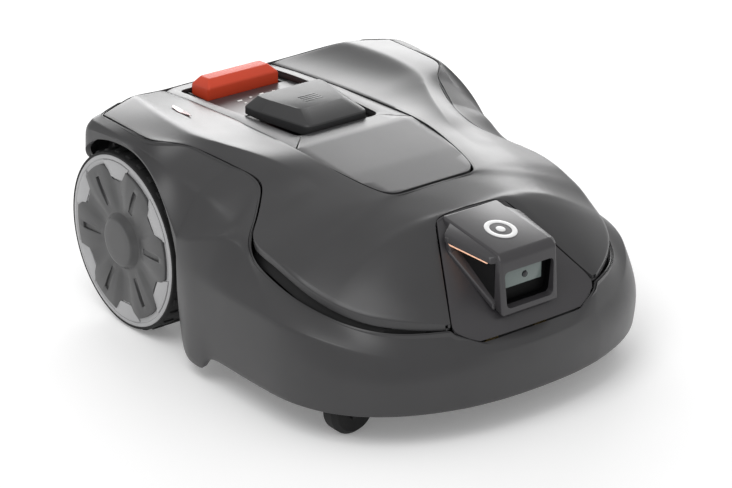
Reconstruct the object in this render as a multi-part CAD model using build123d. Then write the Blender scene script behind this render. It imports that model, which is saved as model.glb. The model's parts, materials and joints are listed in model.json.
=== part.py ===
"""Robotic lawn mower: floating body shell, chassis, drive wheels, casters and cutting unit.

Frame: millimetres, +Z up, front of the mower towards -Y, origin on the ground under the middle.
The body is symmetric about the plane x = 0, so most parts are made once for +X and mirrored.
"""
from build123d import *
import math
import os

# ---------------------------------------------------------------- driving dimensions
WHEEL_Y = 166.0            # rear axle line
WHEEL_Z = 107.0            # axle height, which is also the radius over the lugs
WHEEL_FACE_X = 228.0       # outer face of the drive wheels
TYRE_WIDTH = 40.0
TYRE_R = 105.0             # carcass radius
RIM_R = 96.0               # seat of the tyre on the rim
TRIM_R = 101.5             # silver ring over the tyre's bead
LUGS = 18
LUG_LENGTH = 15.0
AXLE_R = 8.0
RUNNING = 0.05             # radial clearance of a shaft in its bearing

BUMPER_HALF_WIDTH = 242.0  # front plan curve: a superellipse
BUMPER_DEPTH = 185.0
BUMPER_Y = -119.5          # where that curve starts on each side
BUMPER_POWER_X = 2.2
BUMPER_POWER_Y = 2.46
SKIRT_Z = 38.0             # ground clearance of the bumper
ARCH_R = 120.0             # wheel arch, about the axle
WALL = 3.2                 # moulded wall of the body

CASTER_X = 158.0
CASTER_Y = -195.0          # swivel axis
CASTER_TRAIL = 20.0
CASTER_R = 28.0
CASTER_WIDTH = 26.0
CASTER_TURN = -90.0        # swivel of the +X caster as drawn, from trailing straight back
STEM_R = 6.0

BELLY_Z = 70.0             # underside of the chassis tub
TUB_WALL = 4.0
TUB_RIM_Z = 98.0
HOOD_Z = 150.0             # underside of the chassis hood
HOOD_T = 3.0
FLOAT_Z = 160.0            # top of the sliding float frame, where the shell rests

CUT_Y = -30.0              # axis of the cutting disc
DISC_Z = 52.0              # underside of the disc at the highest cut
DISC_R = 85.0
BLADES = 3
BLADE_PIVOT_R = 77.0
BLADE_PIN_R = 2.5
BLADE_LENGTH = 38.0
MOTOR_R = 42.0
SPINDLE_R = 6.0
SKID_Z = DISC_Z - 10.0     # underside of the free-turning skid plate
SKID_T = 3.0
SKID_BUSH_R = 9.0
DIAL_Y = 110.0             # height dial and its screw
SCREW_R = 5.0
GUIDE_X = 38.0
GUIDE_Y = 60.0
GUIDE_R = 6.0

CARRIAGE_Z = 116.0         # underside of the plate that carries the cutting motor
CARRIAGE_T = 8.0

BOARD_Z = 80.0             # main board on its four posts
BOARD_XS = (-84.0, 84.0)
BOARD_YS = (-224.0, -170.0)

COVER_LIP = 8.0            # depth of the cover's turned-down edge
LIP_END_Z = 126.5          # the lip runs out above the bumper's upper edge
SEAM = 2.0                 # how far the cover's edge stays inside the lower shell's
LIFT_PIN_X = 104.0         # pins that guide the shell as it lifts
LIFT_PIN_YS = (-118.0, 228.0)
LIFT_PIN_R = 4.0

PANEL_SPLIT_Y = 25.5       # seam between the two panels along the middle
PANEL_GAP = 1.3            # seam on each side of a panel
WELL_FRONT_HALF = 58.0     # recess for the lid, the keys and the stop bar
WELL_HALF = 66.0
WELL_FRONT_Y = 54.0
WELL_REAR_Y = 283.0
WELL_DEPTH = 7.0
TRAY_WALL = 2.4
LID_FRONT_HALF = 44.0
LID_HALF = 57.0
LID_FRONT_Y = 56.5
LID_REAR_Y = 161.5
LID_FOOT_Z = 224.5
LID_EDGE_Z = 234.0         # top of the upright band round the lid
LID_TOP_Z = 247.0
LID_T = 2.6
LID_HINGE_Y = 154.5
LID_HINGE_Z = 228.9
LID_PIN_R = 1.5
LID_PIN_HALF = 43.9        # the pin ends flush with its two brackets
LID_BRACKET = 3.6          # thickness of each bracket
STOP_HALF = 51.0
STOP_FRONT_Y = 242.0
STOP_REAR_Y = 279.0
STOP_TOP_Z = 237.0

HOUSING_HALF = 38.0        # camera housing and its window
WINDOW_Y = -276.0
WINDOW_LOW, WINDOW_HIGH = 136.0, 172.0
WINDOW_HALF = 32.0
WINDOW_DEPTH = 16.0

OUT = "parts"
os.makedirs(OUT, exist_ok=True)


# ---------------------------------------------------------------- helpers
def keep(name, *solids):
    """Write one named sub-part: one solid, or a group of separate ones."""
    shape = solids[0] if len(solids) == 1 else Compound(children=list(solids))
    export_step(shape, f"{OUT}/{name}.step")


def box(x0, x1, y0, y1, z0, z1):
    """Axis-aligned block from its limits."""
    return Pos((x0 + x1) / 2, (y0 + y1) / 2, (z0 + z1) / 2) * Box(x1 - x0, y1 - y0, z1 - z0)


def rod_z(x, y, z0, z1, r):
    return Pos(x, y, (z0 + z1) / 2) * Cylinder(r, z1 - z0)


def rod_x(x0, x1, y, z, r):
    return Pos((x0 + x1) / 2, y, z) * Rot(0, 90, 0) * Cylinder(r, abs(x1 - x0))


def slab(outline, z0, z1):
    """Upright prism over a plan outline."""
    face = Face(Wire.make_polygon([(x, y, z0) for x, y in outline], close=True))
    return extrude(face, amount=z1 - z0, dir=(0, 0, 1))


def side_prism(profile, x0, x1):
    """Prism along X over a side-view profile given as (y, z) points."""
    face = Face(Wire.make_polygon([(x0, y, z) for y, z in profile], close=True))
    return extrude(face, amount=x1 - x0, dir=(1, 0, 0))


def flip(shape):
    return mirror(shape, about=Plane.YZ)


def both(shape):
    return shape, flip(shape)


def unit(v):
    length = math.sqrt(sum(c * c for c in v)) or 1.0
    return tuple(c / length for c in v)


def cross(a, b):
    return (a[1] * b[2] - a[2] * b[1], a[2] * b[0] - a[0] * b[2], a[0] * b[1] - a[1] * b[0])


def lining(rows, thickness):
    """The grid of points one wall thickness inside a skin given as rows of outer points."""
    inner = []
    last_row = len(rows) - 1
    last = len(rows[0]) - 1
    for i, row in enumerate(rows):
        line = []
        for j, point in enumerate(row):
            before, after = rows[max(i - 1, 0)][j], rows[min(i + 1, last_row)][j]
            left, right = row[max(j - 1, 0)], row[min(j + 1, last)]
            along = tuple(b - a for a, b in zip(before, after))
            over = tuple(b - a for a, b in zip(left, right))
            normal = unit(cross(along, over))
            if point[0] == 0.0:
                normal = unit((0.0, normal[1], normal[2]))
            line.append(tuple(p - thickness * n for p, n in zip(point, normal)))
        inner.append(line)
    return inner


def skin(rows, thickness):
    """Closed moulded wall: the outer grid, its lining, and the edge strips between them."""
    inner = lining(rows, thickness)
    last_row = len(rows) - 1
    last = len(rows[0]) - 1
    faces = []

    def triangles(a, b, c, d):
        for tri in ((a, b, c), (a, c, d)):
            sides = [tuple(q - p for p, q in zip(tri[0], tri[k])) for k in (1, 2)]
            if math.sqrt(sum(v * v for v in cross(*sides))) > 1e-3:
                faces.append(Face(Wire.make_polygon(tri, close=True)))

    for grid in (rows, inner):
        for i in range(last_row):
            for j in range(last):
                triangles(grid[i][j], grid[i][j + 1], grid[i + 1][j + 1], grid[i + 1][j])
    for i in range(last_row):
        for j in (0, last):
            triangles(rows[i][j], rows[i + 1][j], inner[i + 1][j], inner[i][j])
    for j in range(last):
        for i in (0, last_row):
            triangles(rows[i][j], rows[i][j + 1], inner[i][j + 1], inner[i][j])
    return Solid(Shell(faces))


def between(table, key):
    """Linear interpolation down a table of rows sorted by their first value."""
    if key <= table[0][0]:
        return table[0][1:]
    for low, high in zip(table, table[1:]):
        if key <= high[0]:
            share = (key - low[0]) / (high[0] - low[0])
            return tuple(a + share * (b - a) for a, b in zip(low[1:], high[1:]))
    return table[-1][1:]


# ---------------------------------------------------------------- body skin
def arch_z(y):
    """Height of the wheel arch over the axle line at y."""
    reach = ARCH_R ** 2 - (y - WHEEL_Y) ** 2
    return WHEEL_Z + math.sqrt(max(reach, 0.0))


def bumper_point(turn):
    """Point of the bumper's plan curve; turn runs from 0 at the side to 90 at the nose."""
    angle = math.radians(turn)
    x = BUMPER_HALF_WIDTH * math.cos(angle) ** (2 / BUMPER_POWER_X)
    y = BUMPER_Y - BUMPER_DEPTH * math.sin(angle) ** (2 / BUMPER_POWER_Y)
    return x, y


# Sections of the lower shell from the tail round to the nose, each from its upper inner edge
# outwards and down: edge, shoulder crease, skirt crease, widest line, lower rim.
TAIL = [
    ((0, 301.5, 216), (0, 303.8, 214), (0, 304.5, 190), (0, 304.5, 130), (0, 298, 62)),
    ((75, 300.6, 215.5), (76, 302.2, 214), (76.5, 303, 190), (76, 302, 130), (74, 296, 62)),
    ((118, 275, 229), (120, 277.5, 228), (121, 279, 195), (120, 278, 130), (118, 273, 62)),
    ((152, 248, 242), (154, 250, 240), (155, 252, 200), (154, 251, 130), (152, 247, 62)),
    ((176, 239, 241), (178, 242, 239), (179, 243, 200), (178, 242, 130), (176, 239, 62)),
]
FENDER = [
    ((180, 237.5, 240.5), (182, 240.5, 238), (183, 243, 226), (183, 250, 202), (182.5, 264, 170)),
    ((208.5, 228, 238), (214, 233.5, 235), (216, 240, 224), (210, 249, 202), (204, 264, 170)),
    ((208.5, 221, 238), (222, 226, 234.5), (227, 232, 228), (228.6, 234.5, 217), (227, 238, 199)),
]
ARCH_SECTIONS = [          # y, edge x, edge z, crease x, crease z, lip x, lip top z
    (220.0, 208.5, 238.2, 223.0, 235.0, 228.5, 227.5),
    (203.0, 208.5, 238.0, 223.0, 235.0, 228.5, 229.5),
    (178.0, 208.5, 237.7, 222.5, 234.2, 227.5, 231.0),
    (152.0, 208.5, 237.3, 218.5, 230.7, 225.5, 228.5),
    (139.5, 208.5, 237.0, 215.5, 227.6, 224.5, 225.0),
    (118.0, 199.0, 237.0, 211.5, 221.0, 224.5, 216.5),
    (98.0, 176.5, 235.0, 208.0, 215.0, 225.5, 204.5),
    (78.0, 169.5, 230.0, 205.0, 209.5, 228.0, 189.5),
    (62.0, 163.0, 226.0, 203.0, 205.5, 229.5, 173.0),
    (52.0, 159.0, 223.5, 201.5, 203.0, 230.5, 161.0),
    (47.5, 157.0, 222.5, 201.0, 201.5, 231.0, 155.5),
]
SIDE_SECTIONS = [          # edge, shoulder crease, skirt crease, widest line, lower rim
    ((156.5, 46.5, 222.3), (200.8, 46.5, 201.3), (231, 46.8, 154.8), (232, 46.9, 125), (229, 46.5, 46)),
    ((150, 30, 219), (199.5, 30, 198.5), (229.5, 31, 157.8), (233.5, 34, 124), (236.5, 33, 20)),
    ((148.6, 9, 215.3), (195.3, 8.5, 190.6), (223, 9.5, 166), (234, 14.8, 124), (238, 11, 16)),
    ((149.8, -1.5, 212), (193.3, -2, 186.8), (219, -3.5, 170.4), (234, 3.8, 124), (238, -1, 16.3)),
    ((158.8, -13.5, 205.4), (192, -11.5, 183), (216.5, -13.2, 173), (234, -5.2, 124), (238, -10, 17.5)),
    ((170.8, -25, 198), (191.2, -20, 181), (214.3, -22, 174.4), (234, -14.2, 124), (238, -19, 38)),
    ((187.8, -42, 188), (197, -38, 178.5), (209.6, -36.5, 171.8), (234, -30.2, 124), (238, -34, 38)),
    ((205, -56.5, 160), (206, -56, 160), (209, -55, 158), (234, -48, 124), (238, -62, 38)),
]
CREST_IN, CREST_BACK, CREST_DOWN = 8.0, 12.8, 6.0   # the upper crest against the bumper's widest line
CREST_FULL_X = 200.0       # the offset fades out from here to the nose
NOSE_SECTIONS = [          # turn, edge x, y, z, then height of the widest line's upper crease
    (2.0, 203.0, -94.5, 148.0, 129.0),
    (10.0, 202.0, -129.5, 141.0, 128.0),
    (20.0, 197.0, -157.5, 136.0, 126.0),
    (32.0, 187.0, -186.5, 130.0, 119.0),
    (44.0, 173.0, -219.5, 125.0, 109.0),
    (57.0, 142.0, -250.5, 124.0, 103.0),
    (69.0, 101.0, -270.8, 124.5, 100.0),
    (72.5, 98.0, -273.5, 120.0, 99.5),
    (78.0, 69.0, -284.5, 106.5, 99.0),
    (90.0, 0.0, -285.0, 106.5, 99.0),
]


def lower_shell_rows():
    rows = [list(section) for section in TAIL + FENDER]
    for y, edge_x, edge_z, crease_x, crease_z, lip_x, lip_z in ARCH_SECTIONS:
        low = arch_z(y)
        top = max(lip_z, low + 2.0)
        rows.append([(edge_x, y, edge_z), (crease_x, y, max(crease_z, low + 2.5)),
                     (lip_x, y, top), (lip_x + 0.6, y, low + 0.5 * (top - low)), (lip_x, y, low)])
    rows += [list(section) for section in SIDE_SECTIONS]
    for turn, x, y, z, crease_z in NOSE_SECTIONS:
        wide_x, wide_y = bumper_point(turn)
        wide_x = 0.0 if turn == 90.0 else wide_x
        mid = (x + 0.5 * (wide_x - x), y + 0.5 * (wide_y - y), z + 0.3 * (crease_z - z))
        rim_x = wide_x * 0.985
        rim_y = BUMPER_Y + (wide_y - BUMPER_Y) * 0.975
        share = min(wide_x / CREST_FULL_X, 1.0)
        crest = (wide_x - CREST_IN * share, wide_y + CREST_BACK * share, crease_z - CREST_DOWN * share)
        rows.append([(x, y, z), mid, crest, (wide_x, wide_y, 80.0), (rim_x, rim_y, SKIRT_Z)])
    return rows


COVER_SECTIONS = [         # spine side, ridge, outer edge
    ((76.8, 299, 216), (151, 243.5, 243), (207.0, 226.0, 238.3)),
    ((77.5, 240, 221.5), (158, 204, 243.5), (207.0, 200, 238.2)),
    ((79.5, 160, 226.5), (162, 150, 242), (207.0, 139, 237.2)),
    ((80.5, 115, 228), (160.5, 112, 239.3), (194, 116, 237.2)),
    ((81.0, 98, 228.7), (154.5, 98, 237.4), (175, 97.5, 235.2)),
    ((81.8, 60, 229.7), (137, 60, 233.2), (160.5, 60, 226)),
    ((82.0, 25, 230), (121, 24, 229.5), (148.4, 24, 218.8)),
    ((81.8, 2, 229), (113, 2, 225), (147.4, 3, 215)),
    ((80.5, -20, 227), (110, -18, 221), (156.8, -13.5, 207)),
    ((78.0, -42, 224.3), (109, -40, 217), (184.5, -41, 191)),
    ((74.0, -65, 221.3), (108.5, -65, 213.5), (203.5, -57, 181)),
    ((68.0, -92, 218), (108, -92.5, 210.5), (204, -95.5, 174.5)),
    ((60.0, -112, 215.5), (99, -108, 210), (203.5, -104, 172)),
    ((50.0, -119, 214.7), (90, -120, 209.4), (203, -115, 169)),
    ((0.0, -119, 215.2), (85, -128, 209), (202, -129.5, 165)),
    ((0.0, -175, 207), (62, -172, 204.7), (195, -163, 153.5)),
    ((44.0, -175, 205), (63, -179, 202.2), (193, -171, 151)),
    ((52.0, -180.5, 202), (67, -190, 194), (186, -197.5, 146)),
    ((72.0, -218, 171.5), (92, -217, 168), (166, -230, 139)),
    ((88.0, -248, 146), (104, -246, 144), (133, -257, 136)),
    ((100.5, -269.5, 130.5), (104, -268.5, 130.5), (108, -267, 130.5)),
]


def cover_rows():
    rows = []
    for spine, ridge, edge in COVER_SECTIONS:
        rim = (edge[0] - SEAM, edge[1], edge[2])
        drop = min(COVER_LIP, edge[2] - LIP_END_Z)
        lip = (edge[0] - SEAM - 0.8, edge[1], edge[2] - drop)
        rows.append([spine, ridge, rim, lip])
    return rows


def top_cover():
    """Hood and shoulders in one moulding, open along the middle for the two panels."""
    half = skin(cover_rows(), WALL)
    for y in LIFT_PIN_YS:
        boss = rod_z(LIFT_PIN_X, y, FLOAT_Z, 260.0, 9.0)
        below = skin(cover_rows(), 90.0)
        half += boss & below
        half -= rod_z(LIFT_PIN_X, y, FLOAT_Z - 1.0, FLOAT_Z + 24.0, LIFT_PIN_R + RUNNING)
    return half + flip(half)


def lower_shell():
    """Bumper, side skirts, wheel arches and tail in one moulding."""
    half = skin(lower_shell_rows(), WALL)
    return half + flip(half)


def gap_liner():
    """Dark ring that closes the slot between the cover's front edge and the bumper."""
    rows = []
    for _, _, edge in COVER_SECTIONS[9:]:
        inner = (edge[0] - 12.0, edge[1] + 2.0, edge[2] - 13.0)
        outer_x, outer_y = edge[0] - 3.0, edge[1] + 3.0
        rows.append([inner, (outer_x, outer_y, edge[2] - 26.0)])
    return skin(rows, 2.0)


def arch_liner():
    """Inner wall of one wheel well, with an oval cut-out that clears the moving axle."""
    wall = box(179.0, 181.5, 48.0, 230.0, 76.0, 202.0)
    front = box(181.5, 219.0, 40.0, 42.5, 76.0, 146.0)
    corner = box(179.0, 181.5, 40.0, 48.0, 76.0, 172.0)
    return wall + front + corner - rod_x(170.0, 190.0, WHEEL_Y, WHEEL_Z + 3.0, 48.0)


# ---------------------------------------------------------------- panels along the middle
DECK_PROFILE = [(299.5, 216.0), (240.0, 221.5), (160.0, 226.5), (52.0, 229.3), (25.0, 230.0),
                (-60.0, 222.0), (-117.5, 215.2)]


def under(profile, drop):
    """Side view of a panel: its top line and the same line lowered."""
    return profile + [(y, z - drop) for y, z in reversed(profile)]


def spine_x(y):
    """Half-width of the middle opening in the cover at y."""
    table = sorted((row[0][1], row[0][0]) for row in COVER_SECTIONS[:14])
    return between(table, y)[0]


def panel_outline(stations):
    """Plan outline of a panel that fits the opening, from its half-widths."""
    half = [(spine_x(y) - PANEL_GAP, y) for y in stations]
    return half + [(-x, y) for x, y in reversed(half)]


def well_outline(grow):
    """Plan of the recess that holds the lid, the keys and the stop bar."""
    half = [(WELL_FRONT_HALF + grow, WELL_FRONT_Y - grow), (WELL_HALF + grow, LID_REAR_Y + 18.0),
            (WELL_HALF + grow, WELL_REAR_Y + grow)]
    return half + [(-x, y) for x, y in reversed(half)]


def hatch_tab(gap):
    """Rear end of the hatch: it narrows from the seams to the front edge of the well."""
    half = [(WELL_FRONT_HALF, PANEL_SPLIT_Y - 20.0), (spine_x(PANEL_SPLIT_Y) - gap, PANEL_SPLIT_Y),
            (WELL_FRONT_HALF - gap, WELL_FRONT_Y - TRAY_WALL - gap)]
    return half + [(-x, y) for x, y in reversed(half)]


def control_panel():
    """Frame round the well, with the tray below it that holds the keys, the dial and the stop bar."""
    plate = side_prism(under(DECK_PROFILE, WALL), -90.0, 90.0)
    plate &= slab(panel_outline((298.0, 240.0, 160.0, 98.0, PANEL_SPLIT_Y)), 150.0, 260.0)
    plate -= slab(hatch_tab(0.0), 150.0, 260.0)
    tray = slab(well_outline(TRAY_WALL), 196.0, 240.0)
    tray &= side_prism(under([(y, z - 1.5) for y, z in DECK_PROFILE], 45.0), -90.0, 90.0)
    panel = plate + tray
    recess = side_prism(under([(y, z + 20.0) for y, z in DECK_PROFILE], 20.0 + WELL_DEPTH), -90.0, 90.0)
    panel -= recess & slab(well_outline(0.0), 150.0, 260.0)
    panel -= box(-44.0, 44.0, 66.0, 152.0, 198.0, 240.0)
    panel -= box(-59.0, 59.0, 146.0, LID_REAR_Y + 1.5, 212.0, 240.0)
    panel -= box(-STOP_HALF - 2, STOP_HALF + 2, STOP_FRONT_Y - 1.5, STOP_REAR_Y + 2.5, 201.0, 240.0)
    panel -= rod_z(0.0, DIAL_Y, 190.0, 200.0, 36.0)
    for bracket in lid_hinge_brackets():
        panel += bracket
    for led in status_leds():
        panel -= led
    return panel


def hatch_panel():
    plate = side_prism(under(DECK_PROFILE, WALL), -90.0, 90.0)
    outline = panel_outline((24.5, 2.0, -20.0, -42.0, -65.0, -92.0, -104.0, -114.4))
    return plate & (slab(outline, 150.0, 260.0) + slab(hatch_tab(PANEL_GAP), 150.0, 260.0))


def lid_outline(inset):
    """Plan of the lid's foot, narrower in front."""
    half = [(LID_FRONT_HALF - inset, LID_FRONT_Y + inset), (LID_HALF - inset, 140.0),
            (LID_HALF - inset, LID_REAR_Y - inset)]
    return half + [(-x, y) for x, y in reversed(half)]


def height_lid():
    """Domed lid over the height dial: bevelled faces, hollow underneath, hinge ears behind."""
    crown = [(31.0, 88.0), (43.0, 136.0), (43.0, 152.0), (-43.0, 152.0), (-43.0, 136.0), (-31.0, 88.0)]
    inner_crown = [(x * 0.94, 90.0 + (y - 88.0) * 0.93) for x, y in crown]
    outside = loft([polygon_face(lid_outline(0.0), LID_EDGE_Z), polygon_face(crown, LID_TOP_Z)], ruled=True)
    outside += slab(lid_outline(0.0), LID_FOOT_Z, LID_EDGE_Z)
    inner_crown = polygon_face(inner_crown, LID_TOP_Z - LID_T)
    hollow = loft([polygon_face(lid_outline(LID_T), LID_EDGE_Z), inner_crown], ruled=True)
    hollow += slab(lid_outline(LID_T), LID_FOOT_Z, LID_EDGE_Z)
    pin_hole = rod_x(-LID_HALF, LID_HALF, LID_HINGE_Y, LID_HINGE_Z, LID_PIN_R + RUNNING)
    ears = [box(x0, x0 + 8.0, LID_HINGE_Y - 3.2, LID_REAR_Y - LID_T + 0.5, LID_HINGE_Z - 3.2, LID_EDGE_Z)
            for x0 in (-40.0, 32.0)]
    return outside - hollow + ears[0] + ears[1] - (pin_hole & box(-45.0, 45.0, 100.0, 200.0, 200.0, 250.0))


def polygon_face(points, z):
    return Face(Wire.make_polygon([(x, y, z) for x, y in points], close=True))


def lid_hinge_brackets():
    """Two hooked brackets on the floor of the lid's well that carry its hinge pin."""
    y = LID_HINGE_Y
    blocks = []
    for x0 in (-LID_PIN_HALF, LID_PIN_HALF - LID_BRACKET):
        block = box(x0, x0 + LID_BRACKET, y - 9.5, y + 2.6, LID_HINGE_Z - 3.2, LID_HINGE_Z + 2.6)
        block += box(x0, x0 + LID_BRACKET, y - 9.5, y - 4.5, 197.0, LID_HINGE_Z)
        blocks.append(block - rod_x(x0 - 1.0, x0 + LID_BRACKET + 1.0, y, LID_HINGE_Z, LID_PIN_R))
    return blocks


def stop_button():
    """Wide bar with bevelled faces that is pressed down to stop the mower."""
    low = [(-STOP_HALF, STOP_FRONT_Y), (STOP_HALF, STOP_FRONT_Y), (STOP_HALF, STOP_REAR_Y),
           (-STOP_HALF, STOP_REAR_Y)]
    high = [(-STOP_HALF + 7, STOP_FRONT_Y + 5), (STOP_HALF - 7, STOP_FRONT_Y + 5),
            (STOP_HALF - 7, STOP_REAR_Y - 5), (-STOP_HALF + 7, STOP_REAR_Y - 5)]
    crown = loft([polygon_face(low, 224.0), polygon_face(high, STOP_TOP_Z)], ruled=True)
    return crown + slab(low, 209.0, 224.0)


# ---------------------------------------------------------------- camera panel at the nose
CAMERA_ROWS = [
    [(0, -176.5, 206.0), (25, -176.5, 205.6), (43, -176.5, 204.4)],
    [(0, -182, 203.0), (26, -182, 202.5), (50.5, -182.0, 201.0)],
    [(0, -219, 176.0), (36, -219, 174.0), (70.5, -219, 170.5)],
    [(0, -249, 150.0), (43, -249, 148.0), (86.5, -249, 145.0)],
    [(0, -271, 126.5), (50, -271, 126.5), (97.5, -271.5, 124.5)],
    [(0, -276, 121.0), (46, -276, 120.5), (94.0, -275.5, 120.5)],
    [(0, -284.0, 107.6), (35, -284.0, 107.6), (67.5, -284.0, 107.6)],
]
HOUSING_PROFILE = [(-182.0, 204.0), (-275.0, 192.5), (-276.5, 190.0), (-281.0, 126.0), (-277.0, 123.0),
                   (-249.0, 151.2), (-219.0, 177.2)]


def camera_panel():
    half = skin(CAMERA_ROWS, WALL)
    return half + flip(half) - window_prism(-300.0, -255.0, 0.6)


def window_prism(y0, y1, margin):
    """Trapezoid opening of the camera window, wider at the bottom."""
    low, high = WINDOW_LOW - margin, WINDOW_HIGH + margin
    points = [(-WINDOW_HALF - margin, low), (WINDOW_HALF + margin, low),
              (WINDOW_HALF + 2 + margin, high), (-WINDOW_HALF - 2 - margin, high)]
    face = Face(Wire.make_polygon([(x, y0, z) for x, z in points], close=True))
    return extrude(face, amount=y1 - y0, dir=(0, 1, 0))


def camera_housing():
    """Raised box with the window frame and a triangular lamp wing on each side."""
    block = side_prism(HOUSING_PROFILE, -HOUSING_HALF, HOUSING_HALF)
    block -= window_prism(-300.0, WINDOW_Y + WINDOW_DEPTH, 0.0)
    return block


def lamp_wing():
    """Triangular lamp pod on the housing's side, open below its top edge for the lens."""
    top = [(HOUSING_HALF, -196.0, 200.5), (52.0, -204.0, 193.0), (49.0, -262.0, 189.0),
           (HOUSING_HALF, -270.0, 192.0)]
    low = [(HOUSING_HALF, -214.0, 180.0), (50.0, -212.0, 180.5), (46.0, -256.0, 152.0),
           (HOUSING_HALF, -262.0, 142.0)]
    faces = [quad(top), quad(low)]
    for k in range(4):
        following = (k + 1) % 4
        faces.append(quad([top[k], top[following], low[following], low[k]]))
    shell = []
    for pair in faces:
        shell += pair
    return Solid(Shell(shell))


def quad(points):
    """Two triangles that fill a four-cornered patch."""
    a, b, c, d = points
    return [Face(Wire.make_polygon(tri, close=True)) for tri in ((a, b, c), (a, c, d))]


# ---------------------------------------------------------------- drive wheels
def tyre():
    inner = WHEEL_FACE_X - 3.0 - TYRE_WIDTH
    outer = WHEEL_FACE_X - 3.0
    ring = rod_x(inner, outer, WHEEL_Y, WHEEL_Z, TYRE_R) - rod_x(inner, outer, WHEEL_Y, WHEEL_Z, RIM_R)
    for k in range(LUGS):
        lug = box(inner + 1.0, outer - 1.0, WHEEL_Y - LUG_LENGTH / 2, WHEEL_Y + LUG_LENGTH / 2,
                  0.0, WHEEL_Z - RIM_R - 2.0)
        ring += lug.rotate(Axis((0, WHEEL_Y, WHEEL_Z), (1, 0, 0)), 360.0 * k / LUGS)
    return ring


def rim():
    """Wheel disc with a flanged hub and the band that carries the tyre."""
    inner = WHEEL_FACE_X - 3.0 - TYRE_WIDTH
    band = rod_x(inner, WHEEL_FACE_X - 3.0, WHEEL_Y, WHEEL_Z, RIM_R)
    band -= rod_x(inner, WHEEL_FACE_X - 7.0, WHEEL_Y, WHEEL_Z, RIM_R - 5.0)
    hub = rod_x(inner, WHEEL_FACE_X - 6.0, WHEEL_Y, WHEEL_Z, 24.0)
    for k in range(6):
        rib = box(inner + 12.0, WHEEL_FACE_X - 6.0, WHEEL_Y - 2.0, WHEEL_Y + 2.0, WHEEL_Z + 20.0,
                  WHEEL_Z + RIM_R - 4.0)
        hub += rib.rotate(Axis((0, WHEEL_Y, WHEEL_Z), (1, 0, 0)), 60.0 * k)
    return band + hub - rod_x(inner - 1.0, 205.0, WHEEL_Y, WHEEL_Z, AXLE_R)


def trim_ring():
    ring = rod_x(WHEEL_FACE_X - 3.0, WHEEL_FACE_X - 1.0, WHEEL_Y, WHEEL_Z, TRIM_R)
    return ring - rod_x(WHEEL_FACE_X - 4.0, WHEEL_FACE_X, WHEEL_Y, WHEEL_Z, 58.0)


def wheel_cap():
    """Six-spoke cap over the trim ring, with a raised round boss."""
    plate = rod_x(WHEEL_FACE_X - 3.0, WHEEL_FACE_X - 1.0, WHEEL_Y, WHEEL_Z, 58.0)
    star = rod_x(WHEEL_FACE_X - 1.0, WHEEL_FACE_X + 0.5, WHEEL_Y, WHEEL_Z, 44.0)
    for k in range(6):
        arm = [(WHEEL_Y - 15.0, WHEEL_Z + 30.0), (WHEEL_Y + 15.0, WHEEL_Z + 30.0),
               (WHEEL_Y + 25.0, WHEEL_Z + 88.0), (WHEEL_Y - 25.0, WHEEL_Z + 88.0)]
        spoke = side_prism(arm, WHEEL_FACE_X - 1.0, WHEEL_FACE_X + 0.5)
        spoke -= box(WHEEL_FACE_X - 1.0, WHEEL_FACE_X + 1.0, WHEEL_Y - 4.0, WHEEL_Y + 4.0,
                     WHEEL_Z + 50.0, WHEEL_Z + 78.0)
        star += spoke.rotate(Axis((0, WHEEL_Y, WHEEL_Z), (1, 0, 0)), 60.0 * k)
    boss_face = WHEEL_FACE_X + 3.5
    boss = rod_x(WHEEL_FACE_X - 1.0, boss_face, WHEEL_Y, WHEEL_Z, 26.0)
    return plate + star + boss


def drive_axle():
    return rod_x(120.0, 205.0, WHEEL_Y, WHEEL_Z, AXLE_R)


def drive_motor():
    can = rod_x(40.0, 100.0, WHEEL_Y, WHEEL_Z, 24.0)
    return can + rod_x(100.0, 108.0, WHEEL_Y, WHEEL_Z, 10.0)


def drive_gearbox():
    case = rod_x(108.0, 168.0, WHEEL_Y, WHEEL_Z, 32.0)
    case += rod_x(154.0, 158.0, WHEEL_Y, WHEEL_Z, 40.0)
    return case - rod_x(119.0, 169.0, WHEEL_Y, WHEEL_Z, 13.0)


def axle_bearing():
    ring = rod_x(154.0, 168.0, WHEEL_Y, WHEEL_Z, 13.0)
    return ring - rod_x(153.0, 169.0, WHEEL_Y, WHEEL_Z, AXLE_R + RUNNING)


# ---------------------------------------------------------------- casters
def swivelled(shape):
    """Turn a caster piece about the +X stem."""
    return shape.rotate(Axis((CASTER_X, CASTER_Y, 0), (0, 0, 1)), CASTER_TURN)


def caster_fork():
    x, y = CASTER_X, CASTER_Y
    inner = CASTER_WIDTH / 2 + 0.8
    outer = inner + 3.4
    crown_z = 60.0
    fork = box(x - outer, x + outer, y - 14.0, y + CASTER_TRAIL + 8.0, crown_z, 66.5)
    for x0, x1 in ((x - outer, x - inner), (x + inner, x + outer)):
        arm = [(y - 10.0, crown_z + 0.5), (y + CASTER_TRAIL - 7.0, CASTER_R - 6.0),
               (y + CASTER_TRAIL + 7.0, CASTER_R - 6.0), (y + CASTER_TRAIL + 8.0, crown_z + 0.5)]
        fork += side_prism(arm, x0, x1)
    fork -= rod_x(x - 20.0, x + 20.0, y + CASTER_TRAIL, CASTER_R, 3.0)
    return fork


def caster_stem():
    return rod_z(CASTER_X, CASTER_Y, 66.5, 96.0, STEM_R)


def caster_wheel():
    y = CASTER_Y + CASTER_TRAIL
    half = CASTER_WIDTH / 2
    tread = rod_x(CASTER_X - half + 6.0, CASTER_X + half - 6.0, y, CASTER_R, CASTER_R)
    for sign in (-1, 1):
        centre = CASTER_X + sign * (half - 3.0)
        cone = Pos(centre, y, CASTER_R) * Rot(0, 90 * sign, 0) * Cone(CASTER_R, CASTER_R - 5.0, 6.0)
        tread += cone
    return tread - rod_x(CASTER_X - 20.0, CASTER_X + 20.0, y, CASTER_R, 3.0 + RUNNING)


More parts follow.
